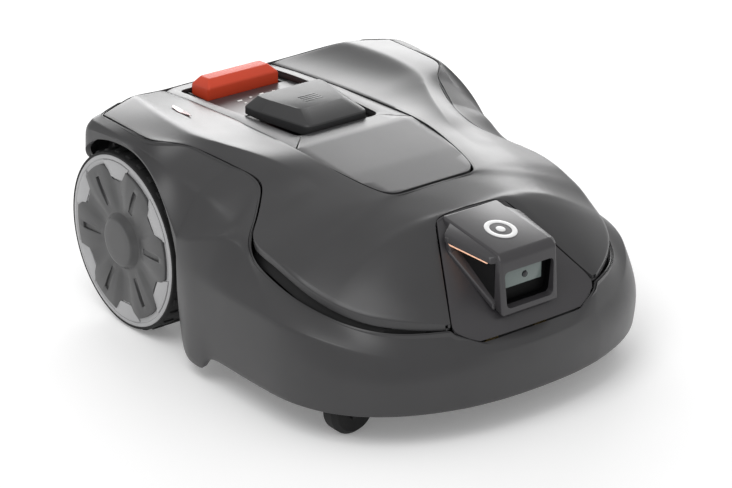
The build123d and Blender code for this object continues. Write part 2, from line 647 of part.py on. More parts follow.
def caster_pin():
    reach = CASTER_WIDTH / 2 + 4.2
    return rod_x(CASTER_X - reach, CASTER_X + reach, CASTER_Y + CASTER_TRAIL, CASTER_R, 3.0)


def caster_bush():
    bush = rod_z(CASTER_X, CASTER_Y, BELLY_Z - 0.5, 94.0, STEM_R + 3.0)
    return bush - rod_z(CASTER_X, CASTER_Y, BELLY_Z - 1.0, 95.0, STEM_R + RUNNING)


# ---------------------------------------------------------------- chassis
def tub_outline(inset):
    """Plan of the tub: rounded between the casters, narrow between the drive wheels."""
    half = []
    for turn in (90, 75, 60, 45, 30, 15, 0):
        angle = math.radians(turn)
        x = (204.0 - inset) * math.cos(angle) ** (2 / BUMPER_POWER_X)
        y = BUMPER_Y - (138.0 - inset) * math.sin(angle) ** (2 / BUMPER_POWER_Y)
        half.append((0.0 if turn == 90 else x, y))
    half += [(200.0 - inset, 16.0 - inset), (154.0 - inset, 28.0 - inset)]
    half += [(154.0 - inset, 222.0 - inset), (106.0 - inset, 258.0 - inset)]
    return half + [(-x, y) for x, y in reversed(half) if x > 0.0]


def chassis_tub():
    """Moulded tray that carries the drives, the casters and the cutting unit."""
    tray = slab(tub_outline(0.0), BELLY_Z, TUB_RIM_Z)
    rear = slab([p for p in tub_outline(0.0) if p[1] > 27.0], TUB_RIM_Z, HOOD_Z)
    tray += rear
    tray -= slab(tub_outline(TUB_WALL), BELLY_Z + TUB_WALL, TUB_RIM_Z + 0.01)
    hollow = slab([p for p in tub_outline(TUB_WALL) if p[1] > 22.0], TUB_RIM_Z - 1.0, HOOD_Z)
    tray -= hollow
    tray -= rod_z(0.0, CUT_Y, BELLY_Z - 1.0, BELLY_Z + 10.0, MOTOR_R + 8.0)
    for x in (-CASTER_X, CASTER_X):
        tray += rod_z(x, CASTER_Y, BELLY_Z, 94.0, STEM_R + 7.0)
        tray -= rod_z(x, CASTER_Y, BELLY_Z - 1.0, 95.0, STEM_R + 3.0)
    tray -= rod_x(-160.0, 160.0, WHEEL_Y, WHEEL_Z, 32.0) - box(-140, 140, 100, 200, 70, 150)
    for x in BOARD_XS:
        for y in BOARD_YS:
            tray += rod_z(x, y, BELLY_Z + 1.0, BOARD_Z, 4.0)
    tray -= box(-62.0, 62.0, 192.0, 252.0, BELLY_Z - 1.0, BELLY_Z + TUB_WALL + 1.0)
    for x in (-GUIDE_X, GUIDE_X):
        tray += rod_z(x, GUIDE_Y, BELLY_Z, 82.0, GUIDE_R + 4.0)
        tray -= rod_z(x, GUIDE_Y, BELLY_Z + 1.5, 83.0, GUIDE_R + RUNNING)
    tray += rod_z(0.0, DIAL_Y, BELLY_Z, 82.0, SCREW_R + 5.0)
    tray -= rod_z(0.0, DIAL_Y, BELLY_Z + 1.5, 83.0, SCREW_R + RUNNING)
    return tray


def chassis_hood():
    """Lid of the tub: a flat rim in front, a raised bay in the middle and behind."""
    front = [p for p in tub_outline(0.0) if p[1] < 27.0]
    hood = slab(front, TUB_RIM_Z, TUB_RIM_Z + HOOD_T)
    hood += box(-118.0, 118.0, -150.0, 32.0, TUB_RIM_Z, HOOD_Z + HOOD_T)
    hood += slab([p for p in tub_outline(0.0) if p[1] > 27.0], HOOD_Z, HOOD_Z + HOOD_T)
    hood += box(-154.0, 154.0, 22.0, 27.9, TUB_RIM_Z, HOOD_Z + HOOD_T)
    hood -= box(-115.0, 115.0, -147.0, 40.0, TUB_RIM_Z - 1.0, HOOD_Z)
    for x in (-GUIDE_X, GUIDE_X):
        hood += rod_z(x, GUIDE_Y, HOOD_Z - 4.0, HOOD_Z, GUIDE_R + 3.0)
        hood -= rod_z(x, GUIDE_Y, HOOD_Z - 5.0, HOOD_Z, GUIDE_R + RUNNING)
    hood += rod_z(0.0, DIAL_Y, HOOD_Z, 202.0, 12.0)
    return hood - rod_z(0.0, DIAL_Y, HOOD_Z - 1.0, 203.0, SCREW_R + RUNNING)


def battery_cover():
    return box(-61.5, 61.5, 192.5, 251.5, BELLY_Z, BELLY_Z + TUB_WALL)


def battery_pack():
    return box(-58.0, 58.0, 194.0, 250.0, BELLY_Z + TUB_WALL, 136.0)


def main_board():
    board = box(-92.0, 92.0, -232.0, -162.0, BOARD_Z, 81.6)
    chips = ((-60, -200, 24, 6), (-10, -190, 30, 9), (45, -205, 20, 12), (72, -180, 16, 8))
    for x, y, size, height in chips:
        board += box(x - size / 2, x + size / 2, y - size / 2, y + size / 2, 81.6, 81.6 + height)
    return board


def float_posts():
    """Rubber stems on the hood that let the frame above them slide a little."""
    return [rod_z(x, y, HOOD_Z + HOOD_T, FLOAT_Z - 4.0, 8.0) for x in (-106, 106) for y in (-134, 212)]


def float_frame():
    """Ring that slides on the stems when the bumper is pushed, with pins for the shell."""
    ring = box(-114.0, 114.0, -146.0, 238.0, FLOAT_Z - 4.0, FLOAT_Z)
    ring -= box(-94.0, 94.0, -128.0, 218.0, FLOAT_Z - 5.0, FLOAT_Z + 1.0)
    for x in (-LIFT_PIN_X, LIFT_PIN_X):
        for y in LIFT_PIN_YS:
            ring += rod_z(x, y, FLOAT_Z - 1.0, FLOAT_Z + 18.0, LIFT_PIN_R)
    return ring


def charge_contacts():
    """Two brass charging strips on the front rim of the tub."""
    return [box(x - 9.0, x + 9.0, -259.4, -257.5, 76.0, 92.0) for x in (-34.0, 34.0)]


def guide_rods():
    return [rod_z(x, GUIDE_Y, BELLY_Z + 1.5, HOOD_Z, GUIDE_R) for x in (-GUIDE_X, GUIDE_X)]


# ---------------------------------------------------------------- cutting unit
def deck_carriage():
    plate = rod_z(0.0, CUT_Y, CARRIAGE_Z, CARRIAGE_Z + CARRIAGE_T, MOTOR_R + 10.0)
    plate += slab([(-50, 0), (50, 0), (50, 72), (16, 124), (-16, 124), (-50, 72)],
                  CARRIAGE_Z, CARRIAGE_Z + CARRIAGE_T)
    plate += rod_z(0.0, DIAL_Y, CARRIAGE_Z - 3.5, CARRIAGE_Z + CARRIAGE_T, 11.0)
    for x in (-GUIDE_X, GUIDE_X):
        plate += rod_z(x, GUIDE_Y, CARRIAGE_Z - 3.5, CARRIAGE_Z + CARRIAGE_T + 6.0, 12.0)
        plate -= rod_z(x, GUIDE_Y, 90.0, 140.0, GUIDE_R + RUNNING)
    plate -= rod_z(0.0, DIAL_Y, 90.0, 140.0, SCREW_R + RUNNING)
    return plate - rod_z(0.0, CUT_Y, 100.0, 140.0, MOTOR_R)


def cut_motor():
    can = rod_z(0.0, CUT_Y, 72.0, 138.0, MOTOR_R)
    return can - rod_z(0.0, CUT_Y, 70.0, 110.0, SPINDLE_R + RUNNING)


def cut_spindle():
    return rod_z(0.0, CUT_Y, SKID_Z - 4.0, 108.0, SPINDLE_R)


def cut_disc():
    disc = rod_z(0.0, CUT_Y, DISC_Z, DISC_Z + 2.5, DISC_R) + rod_z(0.0, CUT_Y, DISC_Z, 70.5, 20.0)
    disc -= rod_z(0.0, CUT_Y, DISC_Z - 1.0, 75.0, SPINDLE_R)
    for k in range(BLADES):
        disc -= at_blade(k, rod_z(BLADE_PIVOT_R, CUT_Y, DISC_Z - 1.0, DISC_Z + 4.0, BLADE_PIN_R))
    return disc


def at_blade(k, shape):
    return shape.rotate(Axis((0, CUT_Y, 0), (0, 0, 1)), 90.0 + 360.0 * k / BLADES)


def blade():
    """Thin pivoting blade, drawn at angle 0 and turned to its place."""
    x0 = BLADE_PIVOT_R - 7.0
    plate = box(x0, x0 + BLADE_LENGTH, CUT_Y - 9.0, CUT_Y + 9.0, DISC_Z - 1.6, DISC_Z - 0.6)
    return plate - rod_z(BLADE_PIVOT_R, CUT_Y, DISC_Z - 3.0, DISC_Z, BLADE_PIN_R + RUNNING)


def blade_screws():
    screws = []
    for k in range(BLADES):
        screw = rod_z(BLADE_PIVOT_R, CUT_Y, DISC_Z - 1.8, DISC_Z + 2.5, BLADE_PIN_R)
        screw += rod_z(BLADE_PIVOT_R, CUT_Y, DISC_Z - 4.2, DISC_Z - 1.8, 4.6)
        screws.append(at_blade(k, screw))
    return screws


def skid_plate():
    """Smooth plate that turns freely under the blades and slides over the grass."""
    plate = rod_z(0.0, CUT_Y, SKID_Z, SKID_Z + SKID_T, 66.0)
    return plate - rod_z(0.0, CUT_Y, SKID_Z - 1.0, SKID_Z + 5.0, SKID_BUSH_R + RUNNING)


def skid_bush():
    """Flanged bush on the spindle that the skid plate turns on."""
    bush = rod_z(0.0, CUT_Y, SKID_Z - 4.0, SKID_Z + 6.0, SKID_BUSH_R)
    bush += rod_z(0.0, CUT_Y, SKID_Z - 4.0, SKID_Z - 0.3, 16.0)
    bush += rod_z(0.0, CUT_Y, SKID_Z + SKID_T + 0.3, SKID_Z + 6.0, 16.0)
    return bush - rod_z(0.0, CUT_Y, SKID_Z - 5.0, SKID_Z + 7.0, SPINDLE_R)


def motor_seal():
    ring = rod_z(0.0, CUT_Y, BELLY_Z + 0.5, BELLY_Z + 3.5, MOTOR_R + 8.0)
    return ring - rod_z(0.0, CUT_Y, BELLY_Z, BELLY_Z + 5.0, MOTOR_R + 0.6)


def height_dial():
    dial = rod_z(0.0, DIAL_Y, 204.0, 218.0, 28.0)
    for k in range(12):
        notch = rod_z(28.0, DIAL_Y, 200.0, 222.0, 2.6)
        dial -= notch.rotate(Axis((0, DIAL_Y, 0), (0, 0, 1)), 30.0 * k)
    dial += box(-3.0, 3.0, DIAL_Y - 24.0, DIAL_Y + 24.0, 218.0, 222.0)
    return dial - rod_z(0.0, DIAL_Y, 200.0, 212.0, SCREW_R)


def height_screw():
    return rod_z(0.0, DIAL_Y, BELLY_Z + 2.0, 212.0, SCREW_R)


# ---------------------------------------------------------------- small visible parts
def marker_light():
    """Leaf-shaped red lamp lens let into one shoulder."""
    leaf = [(120.0, 214.0), (127.0, 206.0), (129.0, 190.0), (124.0, 170.0), (119.0, 186.0), (118.0, 204.0)]
    lens = slab(leaf, 225.0, 245.0)
    below = skin(cover_rows(), -0.6)
    return lens & below


def shoulder_trim():
    """Dark strip that fills the slot between cover and fender behind the wheel arch."""
    rows = [[(205.3, 226.0, 236.8), (206.3, 226.0, 236.6)], [(205.3, 140.0, 236.0), (206.3, 140.0, 235.8)]]
    return skin(rows, 3.0)


def status_leds():
    places = [(-18.0, 212.0), (-6.0, 212.0), (6.0, 212.0), (18.0, 212.0), (0.0, 224.0)]
    return [box(x - 1.6, x + 1.6, y - 1.6, y + 1.6, key_floor_z(y) - 0.3, key_floor_z(y) + 0.4)
            for x, y in places]


def key_floor_z(y):
    """Floor of the well under the keys."""
    return between(sorted(DECK_PROFILE), y)[0] - WELL_DEPTH


def tub_screws():
    screws = []
    for x, y in ((-120, -200), (120, -200), (-190, -60), (190, -60), (-186, 8), (186, 8)):
        screws.append(rod_z(x, y, TUB_RIM_Z + HOOD_T, TUB_RIM_Z + HOOD_T + 2.4, 4.0))
    for x, y in ((-140, 60), (140, 60), (-140, 205), (140, 205)):
        screws.append(rod_z(x, y, HOOD_Z + HOOD_T, HOOD_Z + HOOD_T + 2.4, 4.0))
    return screws


def build():
    keep("lower_shell", lower_shell())
    keep("top_cover", top_cover())
    keep("control_panel", control_panel())
    keep("hatch_panel", hatch_panel())
    keep("camera_panel", camera_panel())
    keep("camera_housing", camera_housing())
    keep("camera_window", window_prism(WINDOW_Y + WINDOW_DEPTH - 2.0, WINDOW_Y + WINDOW_DEPTH, -0.1))
    keep("camera_lens", Pos(0, -263.5, 158) * Rot(90, 0, 0) * Cylinder(7.0, 3.0))
    keep("stop_button", stop_button())
    keep("stop_spring_pad", box(-14, 14, 252, 269, 201.0, 209.0))
    keep("height_lid", height_lid())
    keep("lid_hinge_pin", rod_x(-LID_PIN_HALF, LID_PIN_HALF, LID_HINGE_Y, LID_HINGE_Z, LID_PIN_R))
    keep("status_leds", *status_leds())
    keep("gap_trim", *both(gap_liner()), *both(shoulder_trim()))
    keep("arch_liners", *both(arch_liner()))
    keep("drive_motors", *both(drive_motor()))
    keep("drive_gearboxes", *both(drive_gearbox()))
    keep("axle_bearings", *both(axle_bearing()))
    keep("marker_lights", flip(marker_light()))
    keep("lamp_wings", *both(lamp_wing()))
    for side, place in (("right", flip), ("left", lambda shape: shape)):
        keep(f"tyre_{side}", place(tyre()))
        keep(f"rim_{side}", place(rim()))
        keep(f"trim_ring_{side}", place(trim_ring()))
        keep(f"wheel_cap_{side}", place(wheel_cap()))
        keep(f"axle_{side}", place(drive_axle()))
        keep(f"caster_fork_{side}", place(swivelled(caster_fork())))
        keep(f"caster_wheel_{side}", place(swivelled(caster_wheel())))
        keep(f"caster_pins_{side}", place(caster_stem()), place(swivelled(caster_pin())))
    keep("caster_bushes", *both(caster_bush()))
    keep("chassis_tub", chassis_tub())
    keep("chassis_hood", chassis_hood())
    keep("battery_cover", battery_cover())
    keep("battery_pack", battery_pack())
    keep("main_board", main_board())
    keep("float_posts", *float_posts())
    keep("float_frame", float_frame())
    keep("charge_contacts", *charge_contacts())
    keep("guide_rods", *guide_rods())
    keep("motor_seal", motor_seal())
    keep("tub_screws", *tub_screws())
    keep("height_dial", height_dial())
    keep("height_screw", height_screw())
    keep("deck_carriage", deck_carriage())
    keep("cut_motor", cut_motor())
    keep("cut_spindle", cut_spindle())
    keep("cut_disc", cut_disc())
    keep("blade_screws", *blade_screws())
    for k in range(BLADES):
        keep(f"blade_{k + 1}", at_blade(k, blade()))
    keep("skid_plate", skid_plate())
    keep("skid_bush", skid_bush())


if __name__ == "__main__":
    build()
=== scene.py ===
"""Looks of the robotic lawn mower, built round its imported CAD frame.

Lengths in the tables are millimetres in the frame's own axes: +Z up, the front towards -Y. The tables
give the +X side, which is mirrored in x = 0.
"""

import json
import math

import bmesh
import bpy
from mathutils import Matrix, Vector


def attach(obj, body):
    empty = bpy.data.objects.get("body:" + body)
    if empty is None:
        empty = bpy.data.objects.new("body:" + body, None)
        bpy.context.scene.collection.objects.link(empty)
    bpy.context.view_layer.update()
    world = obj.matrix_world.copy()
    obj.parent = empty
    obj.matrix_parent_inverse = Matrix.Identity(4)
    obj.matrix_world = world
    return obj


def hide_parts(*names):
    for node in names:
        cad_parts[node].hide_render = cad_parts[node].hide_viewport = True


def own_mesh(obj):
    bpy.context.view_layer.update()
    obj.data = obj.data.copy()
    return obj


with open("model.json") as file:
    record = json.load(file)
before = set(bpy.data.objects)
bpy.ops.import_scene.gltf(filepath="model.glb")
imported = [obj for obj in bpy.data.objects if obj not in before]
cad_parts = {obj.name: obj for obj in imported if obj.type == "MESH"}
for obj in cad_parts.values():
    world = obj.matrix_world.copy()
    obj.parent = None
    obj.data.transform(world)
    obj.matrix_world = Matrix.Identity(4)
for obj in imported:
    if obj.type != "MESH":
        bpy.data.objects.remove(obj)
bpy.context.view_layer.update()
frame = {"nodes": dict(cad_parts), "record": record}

MM = 0.001
SMOOTH_ANGLE = 40.0        # edges sharper than this stay crisp
JOINED_ANGLE = 35.0        # the same for pieces joined from several
MERGE_DISTANCE = 0.02      # points of a cage closer than this are one
SLIVER_AREA = 1e-4         # faces smaller than this are dropped

WHEEL_Y, WHEEL_Z, WHEEL_FACE = 166.0, 107.0, 228.0
WHEEL_INNER = WHEEL_FACE - 43.0
SPOKES, LUGS = 6, 30
CAP_TURN = 34.0            # how far the cap's spokes are turned at rest
ARCH_R = 120.0
BUMPER_HALF, BUMPER_START, BUMPER_REACH = 242.0, -119.5, 185.0
# the nose's upper crease is drawn in from the bumper's curve, fully from this x outwards
CREST_IN, CREST_BACK, CREST_DOWN, CREST_FULL_X = 8.0, 12.8, 6.0, 200.0
RIM_RETURN = 5.0           # flange turned in under the lower rim
COVER_LIP_ROW = 16         # from this row forwards the cover's outer edge is a deep rounded lip
COVER_LIP = 10.0
GAP = 1.1                  # seam beside each panel
PANEL_THICKNESS = 3.0
WELL_DEPTH = 7.0
WELL_RADII = [12, 60, 9, 9, 60, 12]
CAMERA_TARGET = (0.0, 4.8, 98.7)
CAMERA_DISTANCE = 3069.0
CAMERA_AZIMUTH, CAMERA_ELEVATION = -37.64, 24.0
CAMERA_LENS = 131.98
FLOOR_REACH, FLOOR_Z = 9000.0, -0.3


# ---- mesh helpers
def link_mesh(name, bm):
    mesh = bpy.data.meshes.new(name)
    bm.to_mesh(mesh)
    bm.free()
    obj = bpy.data.objects.new(name, mesh)
    bpy.context.scene.collection.objects.link(obj)
    return obj


def finish_mesh(name, bm, smooth_angle=SMOOTH_ANGLE):
    """Turn a bmesh in millimetres into an object in metres."""
    bmesh.ops.recalc_face_normals(bm, faces=bm.faces)
    obj = link_mesh(name, bm)
    obj.data.transform(Matrix.Scale(MM, 4))
    shade(obj, smooth_angle)
    return obj


def shade(obj, angle):
    """Smooth shading that keeps edges sharper than the angle."""
    mesh = obj.data
    for poly in mesh.polygons:
        poly.use_smooth = True
    mesh.set_sharp_from_angle(angle=math.radians(angle))


def apply_modifiers(obj, smooth_angle=SMOOTH_ANGLE):
    depsgraph = bpy.context.evaluated_depsgraph_get()
    made = bpy.data.meshes.new_from_object(obj.evaluated_get(depsgraph))
    obj.modifiers.clear()
    obj.data = made
    shade(obj, smooth_angle)
    return obj


def add_bevel(obj, width, segments=3, angle=25.0):
    bevel = obj.modifiers.new("bevel", "BEVEL")
    bevel.width = width * MM
    bevel.segments = segments
    bevel.limit_method = "ANGLE"
    bevel.angle_limit = math.radians(angle)
    return apply_modifiers(obj)


def thicken(obj, thickness):
    """Modifier that gives a skin its wall, on the inside."""
    wall = obj.modifiers.new("wall", "SOLIDIFY")
    wall.thickness = thickness * MM
    wall.offset = -1.0


def combine(obj, tool, operation, smooth_angle=SMOOTH_ANGLE):
    """Boolean of an object with a tool, which is used up."""
    change = obj.modifiers.new("combine", "BOOLEAN")
    change.operation = operation
    change.object = tool
    change.solver = "EXACT"
    apply_modifiers(obj, smooth_angle)
    bpy.data.objects.remove(tool)
    return obj


def cut(obj, tool, smooth_angle=SMOOTH_ANGLE):
    return combine(obj, tool, "DIFFERENCE", smooth_angle)


def join(name, parts):
    """One object made of several."""
    bm = bmesh.new()
    for part in parts:
        bm.from_mesh(part.data)
        bpy.data.objects.remove(part)
    obj = link_mesh(name, bm)
    shade(obj, JOINED_ANGLE)
    return obj


def mirrored(obj, name):
    """A copy of an object on the other side of x = 0."""
    bm = bmesh.new()
    bm.from_mesh(obj.data)
    bmesh.ops.scale(bm, vec=(-1, 1, 1), verts=bm.verts)
    bmesh.ops.reverse_faces(bm, faces=bm.faces)
    copy = link_mesh(name, bm)
    shade(copy, JOINED_ANGLE)
    return copy


def cage(name, rows, creases, row_creases=None, thickness=2.4, corners=()):
    """Smooth moulded wall from a grid of points: subdivided, mirrored in x = 0 and thickened inwards.

    creases gives the sharpness of each column's line, row_creases of each row's line.
    """
    bm = bmesh.new()
    sharpness = bm.edges.layers.float.new("crease_edge")
    corner_sharpness = bm.verts.layers.float.new("crease_vert")
    for sign in (1, -1):
        grid = [[bm.verts.new((sign * x, y, z)) for x, y, z in row] for row in rows]
        for i, j in corners:
            grid[i][j][corner_sharpness] = 1.0
        for low, high in zip(grid, grid[1:]):
            for j in range(len(low) - 1):
                bm.faces.new((low[j], low[j + 1], high[j + 1], high[j])[::sign])
        for j, weight in creases.items():
            for i in range(len(grid) - 1):
                edge = bm.edges.get((grid[i][j], grid[i + 1][j]))
                edge[sharpness] = weight[i] if isinstance(weight, list) else weight
        for i, weight in (row_creases or {}).items():
            for j in range(len(grid[i]) - 1):
                edge = bm.edges.get((grid[i][j], grid[i][j + 1]))
                edge[sharpness] = max(edge[sharpness], weight)
    bmesh.ops.remove_doubles(bm, verts=bm.verts, dist=MERGE_DISTANCE)
    thin = [face for face in bm.faces if face.calc_area() < SLIVER_AREA]
    bmesh.ops.delete(bm, geom=thin, context="FACES_ONLY")
    # where a half's edge runs along x = 0, the two halves join there without a wall or a crease
    inside = [face for face in bm.faces if all(abs(v.co.x) < MERGE_DISTANCE for v in face.verts)]
    for edge in {edge for face in inside for edge in face.edges}:
        edge[sharpness] = 0.0
    bmesh.ops.delete(bm, geom=inside, context="FACES")
    obj = finish_mesh(name, bm)
    smooth = obj.modifiers.new("smooth", "SUBSURF")
    smooth.levels = smooth.render_levels = 3
    smooth.boundary_smooth = "PRESERVE_CORNERS"
    thicken(obj, thickness)
    return apply_modifiers(obj)


def loft(name, rings, ends="closed"):
    """Skin over rings of equally many points, given from the bottom up.

    ends is "closed" for a face at both ends, "open" for none, or "joined" to lead back to the first ring.
    """
    bm = bmesh.new()
    loops = [[bm.verts.new(p) for p in ring] for ring in rings]
    skin_rings(bm, loops + loops[:1] if ends == "joined" else loops)
    if ends == "closed":
        bm.faces.new(loops[0][::-1])
        bm.faces.new(loops[-1])
    return finish_mesh(name, bm)


def skin_rings(bm, rings):
    """Faces between rings of vertices, where a ring may also be a single vertex."""
    for a, b in zip(rings, rings[1:]):
        count = max(len(a), len(b))
        for i in range(count):
            quad = (a[i % len(a)], a[(i + 1) % len(a)], b[(i + 1) % len(b)], b[i % len(b)])
            corners = list(dict.fromkeys(quad))
            if len(corners) > 2:
                bm.faces.new(corners)


def lathe(name, profile, count, spot):
    """Round piece; profile gives (radius, place along the axis), spot(u, v, along) a point round it."""
    bm = bmesh.new()
    rings = []
    for r, along in profile:
        turns = angles(count) if r else [0.0]
        rings.append([bm.verts.new(spot(r * math.cos(a), r * math.sin(a), along)) for a in turns])
    skin_rings(bm, rings)
    return finish_mesh(name, bm, 30.0)


def prism(name, outline, z0, z1):
    """Upright block over a plan outline."""
    bm = bmesh.new()
    base = bm.faces.new([bm.verts.new((x, y, z0)) for x, y in outline])
    top = bmesh.ops.extrude_face_region(bm, geom=[base])
    for v in (g for g in top["geom"] if isinstance(g, bmesh.types.BMVert)):
        v.co.z = z1
    return finish_mesh(name, bm)


def block(name, xs, ys, zs, bevel=0.0, segments=2):
    obj = prism(name, [(xs[0], ys[0]), (xs[1], ys[0]), (xs[1], ys[1]), (xs[0], ys[1])], zs[0], zs[1])
    if bevel:
        add_bevel(obj, bevel, segments)
    return obj


def open_box(name, xs, ys, zs, wall):
    """Tray open at the top."""
    obj = block(name, xs, ys, zs)
    return cut(obj, block(name + "_cut", (xs[0] + wall, xs[1] - wall), (ys[0] + wall, ys[1] - wall),
                          (zs[0] + wall, zs[1] + 5)))


def angles(count):
    return [2 * math.pi * k / count for k in range(count)]


def lowered(p, dx=0.0, dy=0.0, dz=0.0):
    return (p[0] + dx, p[1] + dy, p[2] + dz)


def mix(a, b, share, lift=0.0):
    """Point between two others, raised by lift."""
    x, y, z = (p + share * (q - p) for p, q in zip(a, b))
    return (x, y, z + lift)


def both_sides(half):
    """Closed plan outline from its +X half."""
    return list(half) + [(-x, y) for x, y in reversed(half)]


def rectangle(half_width, y0, y1):
    return [(-half_width, y0), (half_width, y0), (half_width, y1), (-half_width, y1)]


def rounded(outline, radius):
    """Round the corners of a plan outline; radius is one value or one for each corner."""
    out = []
    steps = 6
    count = len(outline)
    radii = radius if isinstance(radius, list) else [radius] * count
    for k, (x, y) in enumerate(outline):
        here = Vector((x, y))
        before, after = Vector(outline[k - 1]) - here, Vector(outline[(k + 1) % count]) - here
        r = min(radii[k], 0.45 * before.length, 0.45 * after.length)
        if r < 0.05:
            out.append((x, y))
            continue
        a, b = here + before.normalized() * r, here + after.normalized() * r
        for i in range(steps + 1):
            t = i / steps
            p = a * (1 - t) ** 2 + here * (2 * t * (1 - t)) + b * t ** 2
            out.append((p.x, p.y))
    return out


def along_line(table, key):
    for (a, va), (b, vb) in zip(table, table[1:]):
        if key <= b:
            return va + (vb - va) * (key - a) / (b - a)
    return table[-1][1]


# ---- materials
MATERIALS = {}


def new_material(name):
    """Start a material and keep it in MATERIALS under its plain name."""
    material = bpy.data.materials.new(name)
    material.use_nodes = True
    MATERIALS[name] = material
    return material.node_tree, material.node_tree.nodes["Principled BSDF"]


def noise(tree, scale, detail, rough, coords):
    node = tree.nodes.new("ShaderNodeTexNoise")
    node.inputs["Scale"].default_value = scale
    node.inputs["Detail"].default_value = detail
    node.inputs["Roughness"].default_value = rough
    tree.links.new(coords, node.inputs["Vector"])
    return node.outputs["Fac"]


def object_coords(tree):
    return tree.nodes.new("ShaderNodeTexCoord").outputs["Object"]


def ramp(tree, fac, low, high, start=0.35, end=0.65):
    node = tree.nodes.new("ShaderNodeValToRGB")
    node.color_ramp.elements[0].position = start
    node.color_ramp.elements[1].position = end
    node.color_ramp.elements[0].color = (*low, 1.0)
    node.color_ramp.elements[1].color = (*high, 1.0)
    tree.links.new(fac, node.inputs["Fac"])
    return node.outputs["Color"]


def spread(tree, fac, low, high):
    node = tree.nodes.new("ShaderNodeMapRange")
    node.inputs["To Min"].default_value = low
    node.inputs["To Max"].default_value = high
    tree.links.new(fac, node.inputs["Value"])
    return node.outputs["Result"]


def add_bump(tree, shader, height, strength, depth):
    bump = tree.nodes.new("ShaderNodeBump")
    bump.inputs["Strength"].default_value = strength
    bump.inputs["Distance"].default_value = depth
    tree.links.new(height, bump.inputs["Height"])
    tree.links.new(bump.outputs["Normal"], shader.inputs["Normal"])


def moulded(name, colour, roughness, variation=0.06, specular=0.5, coat=0.0):
    """Moulded plastic: spark-eroded grain, slight shade drift and patchy gloss."""
    tree, shader = new_material(name)
    coords = object_coords(tree)
    low = [c * (1.0 - variation) for c in colour]
    high = [c * (1.0 + variation) for c in colour]
    drift = noise(tree, 9.0, 4.0, 0.6, coords)
    tree.links.new(ramp(tree, drift, low, high), shader.inputs["Base Color"])
    patches = noise(tree, 38.0, 5.0, 0.6, coords)
    tree.links.new(spread(tree, patches, roughness * 0.88, roughness * 1.12), shader.inputs["Roughness"])
    add_bump(tree, shader, noise(tree, 2600.0, 2.0, 0.5, coords), 0.35, 0.00004)
    shader.inputs["Specular IOR Level"].default_value = specular
    if coat:
        shader.inputs["Coat Weight"].default_value = coat
        shader.inputs["Coat Roughness"].default_value = 0.12


def metal(name, colour, roughness):
    """Metal with fine scratches along Z."""
    tree, shader = new_material(name)
    mapping = tree.nodes.new("ShaderNodeMapping")
    mapping.inputs["Scale"].default_value = (400.0, 400.0, 30.0)
    tree.links.new(object_coords(tree), mapping.inputs["Vector"])
    scratches = noise(tree, 3.0, 6.0, 0.7, mapping.outputs["Vector"])
    low = [c * 0.86 for c in colour]
    tree.links.new(ramp(tree, scratches, low, colour), shader.inputs["Base Color"])
    tree.links.new(spread(tree, scratches, roughness * 0.7, roughness * 1.3), shader.inputs["Roughness"])
    shader.inputs["Metallic"].default_value = 1.0


def rubber(name, colour, roughness):
    """Matt rubber with mould dust in its grain."""
    tree, shader = new_material(name)
    coords = object_coords(tree)
    dust = noise(tree, 70.0, 6.0, 0.7, coords)
    dusty = [c * 1.9 + 0.004 for c in colour]
    tree.links.new(ramp(tree, dust, colour, dusty, 0.45, 0.8), shader.inputs["Base Color"])
    tree.links.new(spread(tree, dust, roughness * 0.85, roughness), shader.inputs["Roughness"])
    add_bump(tree, shader, noise(tree, 900.0, 3.0, 0.5, coords), 0.5, 0.0001)
    shader.inputs["Specular IOR Level"].default_value = 0.35


def lens(name, colour, roughness, glow=0.0):
    """Clear or tinted moulded lens with fine optical ribs."""
    tree, shader = new_material(name)
    ribs = tree.nodes.new("ShaderNodeTexWave")
    ribs.inputs["Scale"].default_value = 260.0
    tree.links.new(object_coords(tree), ribs.inputs["Vector"])
    low = [c * 0.75 for c in colour]
    tree.links.new(ramp(tree, ribs.outputs["Fac"], low, colour, 0.0, 1.0), shader.inputs["Base Color"])
    shader.inputs["Roughness"].default_value = roughness
    if glow:
        shader.inputs["Emission Color"].default_value = (*colour, 1.0)
        shader.inputs["Emission Strength"].default_value = glow


# one for each material slot of the record, and three looks that only scene pieces have
moulded("shell_plastic", (0.036, 0.0355, 0.037), 0.36)
moulded("cover_plastic", (0.038, 0.0375, 0.039), 0.30)
moulded("panel_plastic", (0.042, 0.041, 0.043), 0.33)
moulded("lid_plastic", (0.030, 0.030, 0.031), 0.40)
moulded("camera_plastic", (0.040, 0.038, 0.041), 0.33)
moulded("black_plastic", (0.006, 0.006, 0.0065), 0.45, specular=0.3)
moulded("chassis_plastic", (0.014, 0.014, 0.015), 0.55)
moulded("cap_plastic", (0.050, 0.050, 0.051), 0.34)
moulded("silver_paint", (0.36, 0.36, 0.365), 0.36, specular=0.6)
moulded("stop_orange", (0.66, 0.062, 0.022), 0.46, variation=0.03, specular=0.35)
lens("marker_red", (0.20, 0.010, 0.016), 0.08)
lens("led_diffuser", (0.85, 0.85, 0.82), 0.3)
rubber("tyre_rubber", (0.007, 0.007, 0.0073), 0.78)
rubber("silicone", (0.030, 0.030, 0.031), 0.6)
metal("steel", (0.56, 0.56, 0.57), 0.32)
metal("motor_alloy", (0.50, 0.50, 0.52), 0.45)
metal("brass", (0.78, 0.58, 0.25), 0.25)
moulded("battery_wrap", (0.030, 0.070, 0.190), 0.4)
moulded("circuit_board", (0.015, 0.120, 0.045), 0.3, coat=0.5)
lens("window_glass", (0.17, 0.21, 0.20), 0.16)
lens("lens_glass", (0.008, 0.010, 0.014), 0.04)
lens("lamp_lens", (0.95, 0.55, 0.38), 0.2, glow=0.6)
moulded("badge_white", (0.80, 0.80, 0.80), 0.35, variation=0.02)
moulded("window_black", (0.0022, 0.0022, 0.0024), 0.5, specular=0.12)


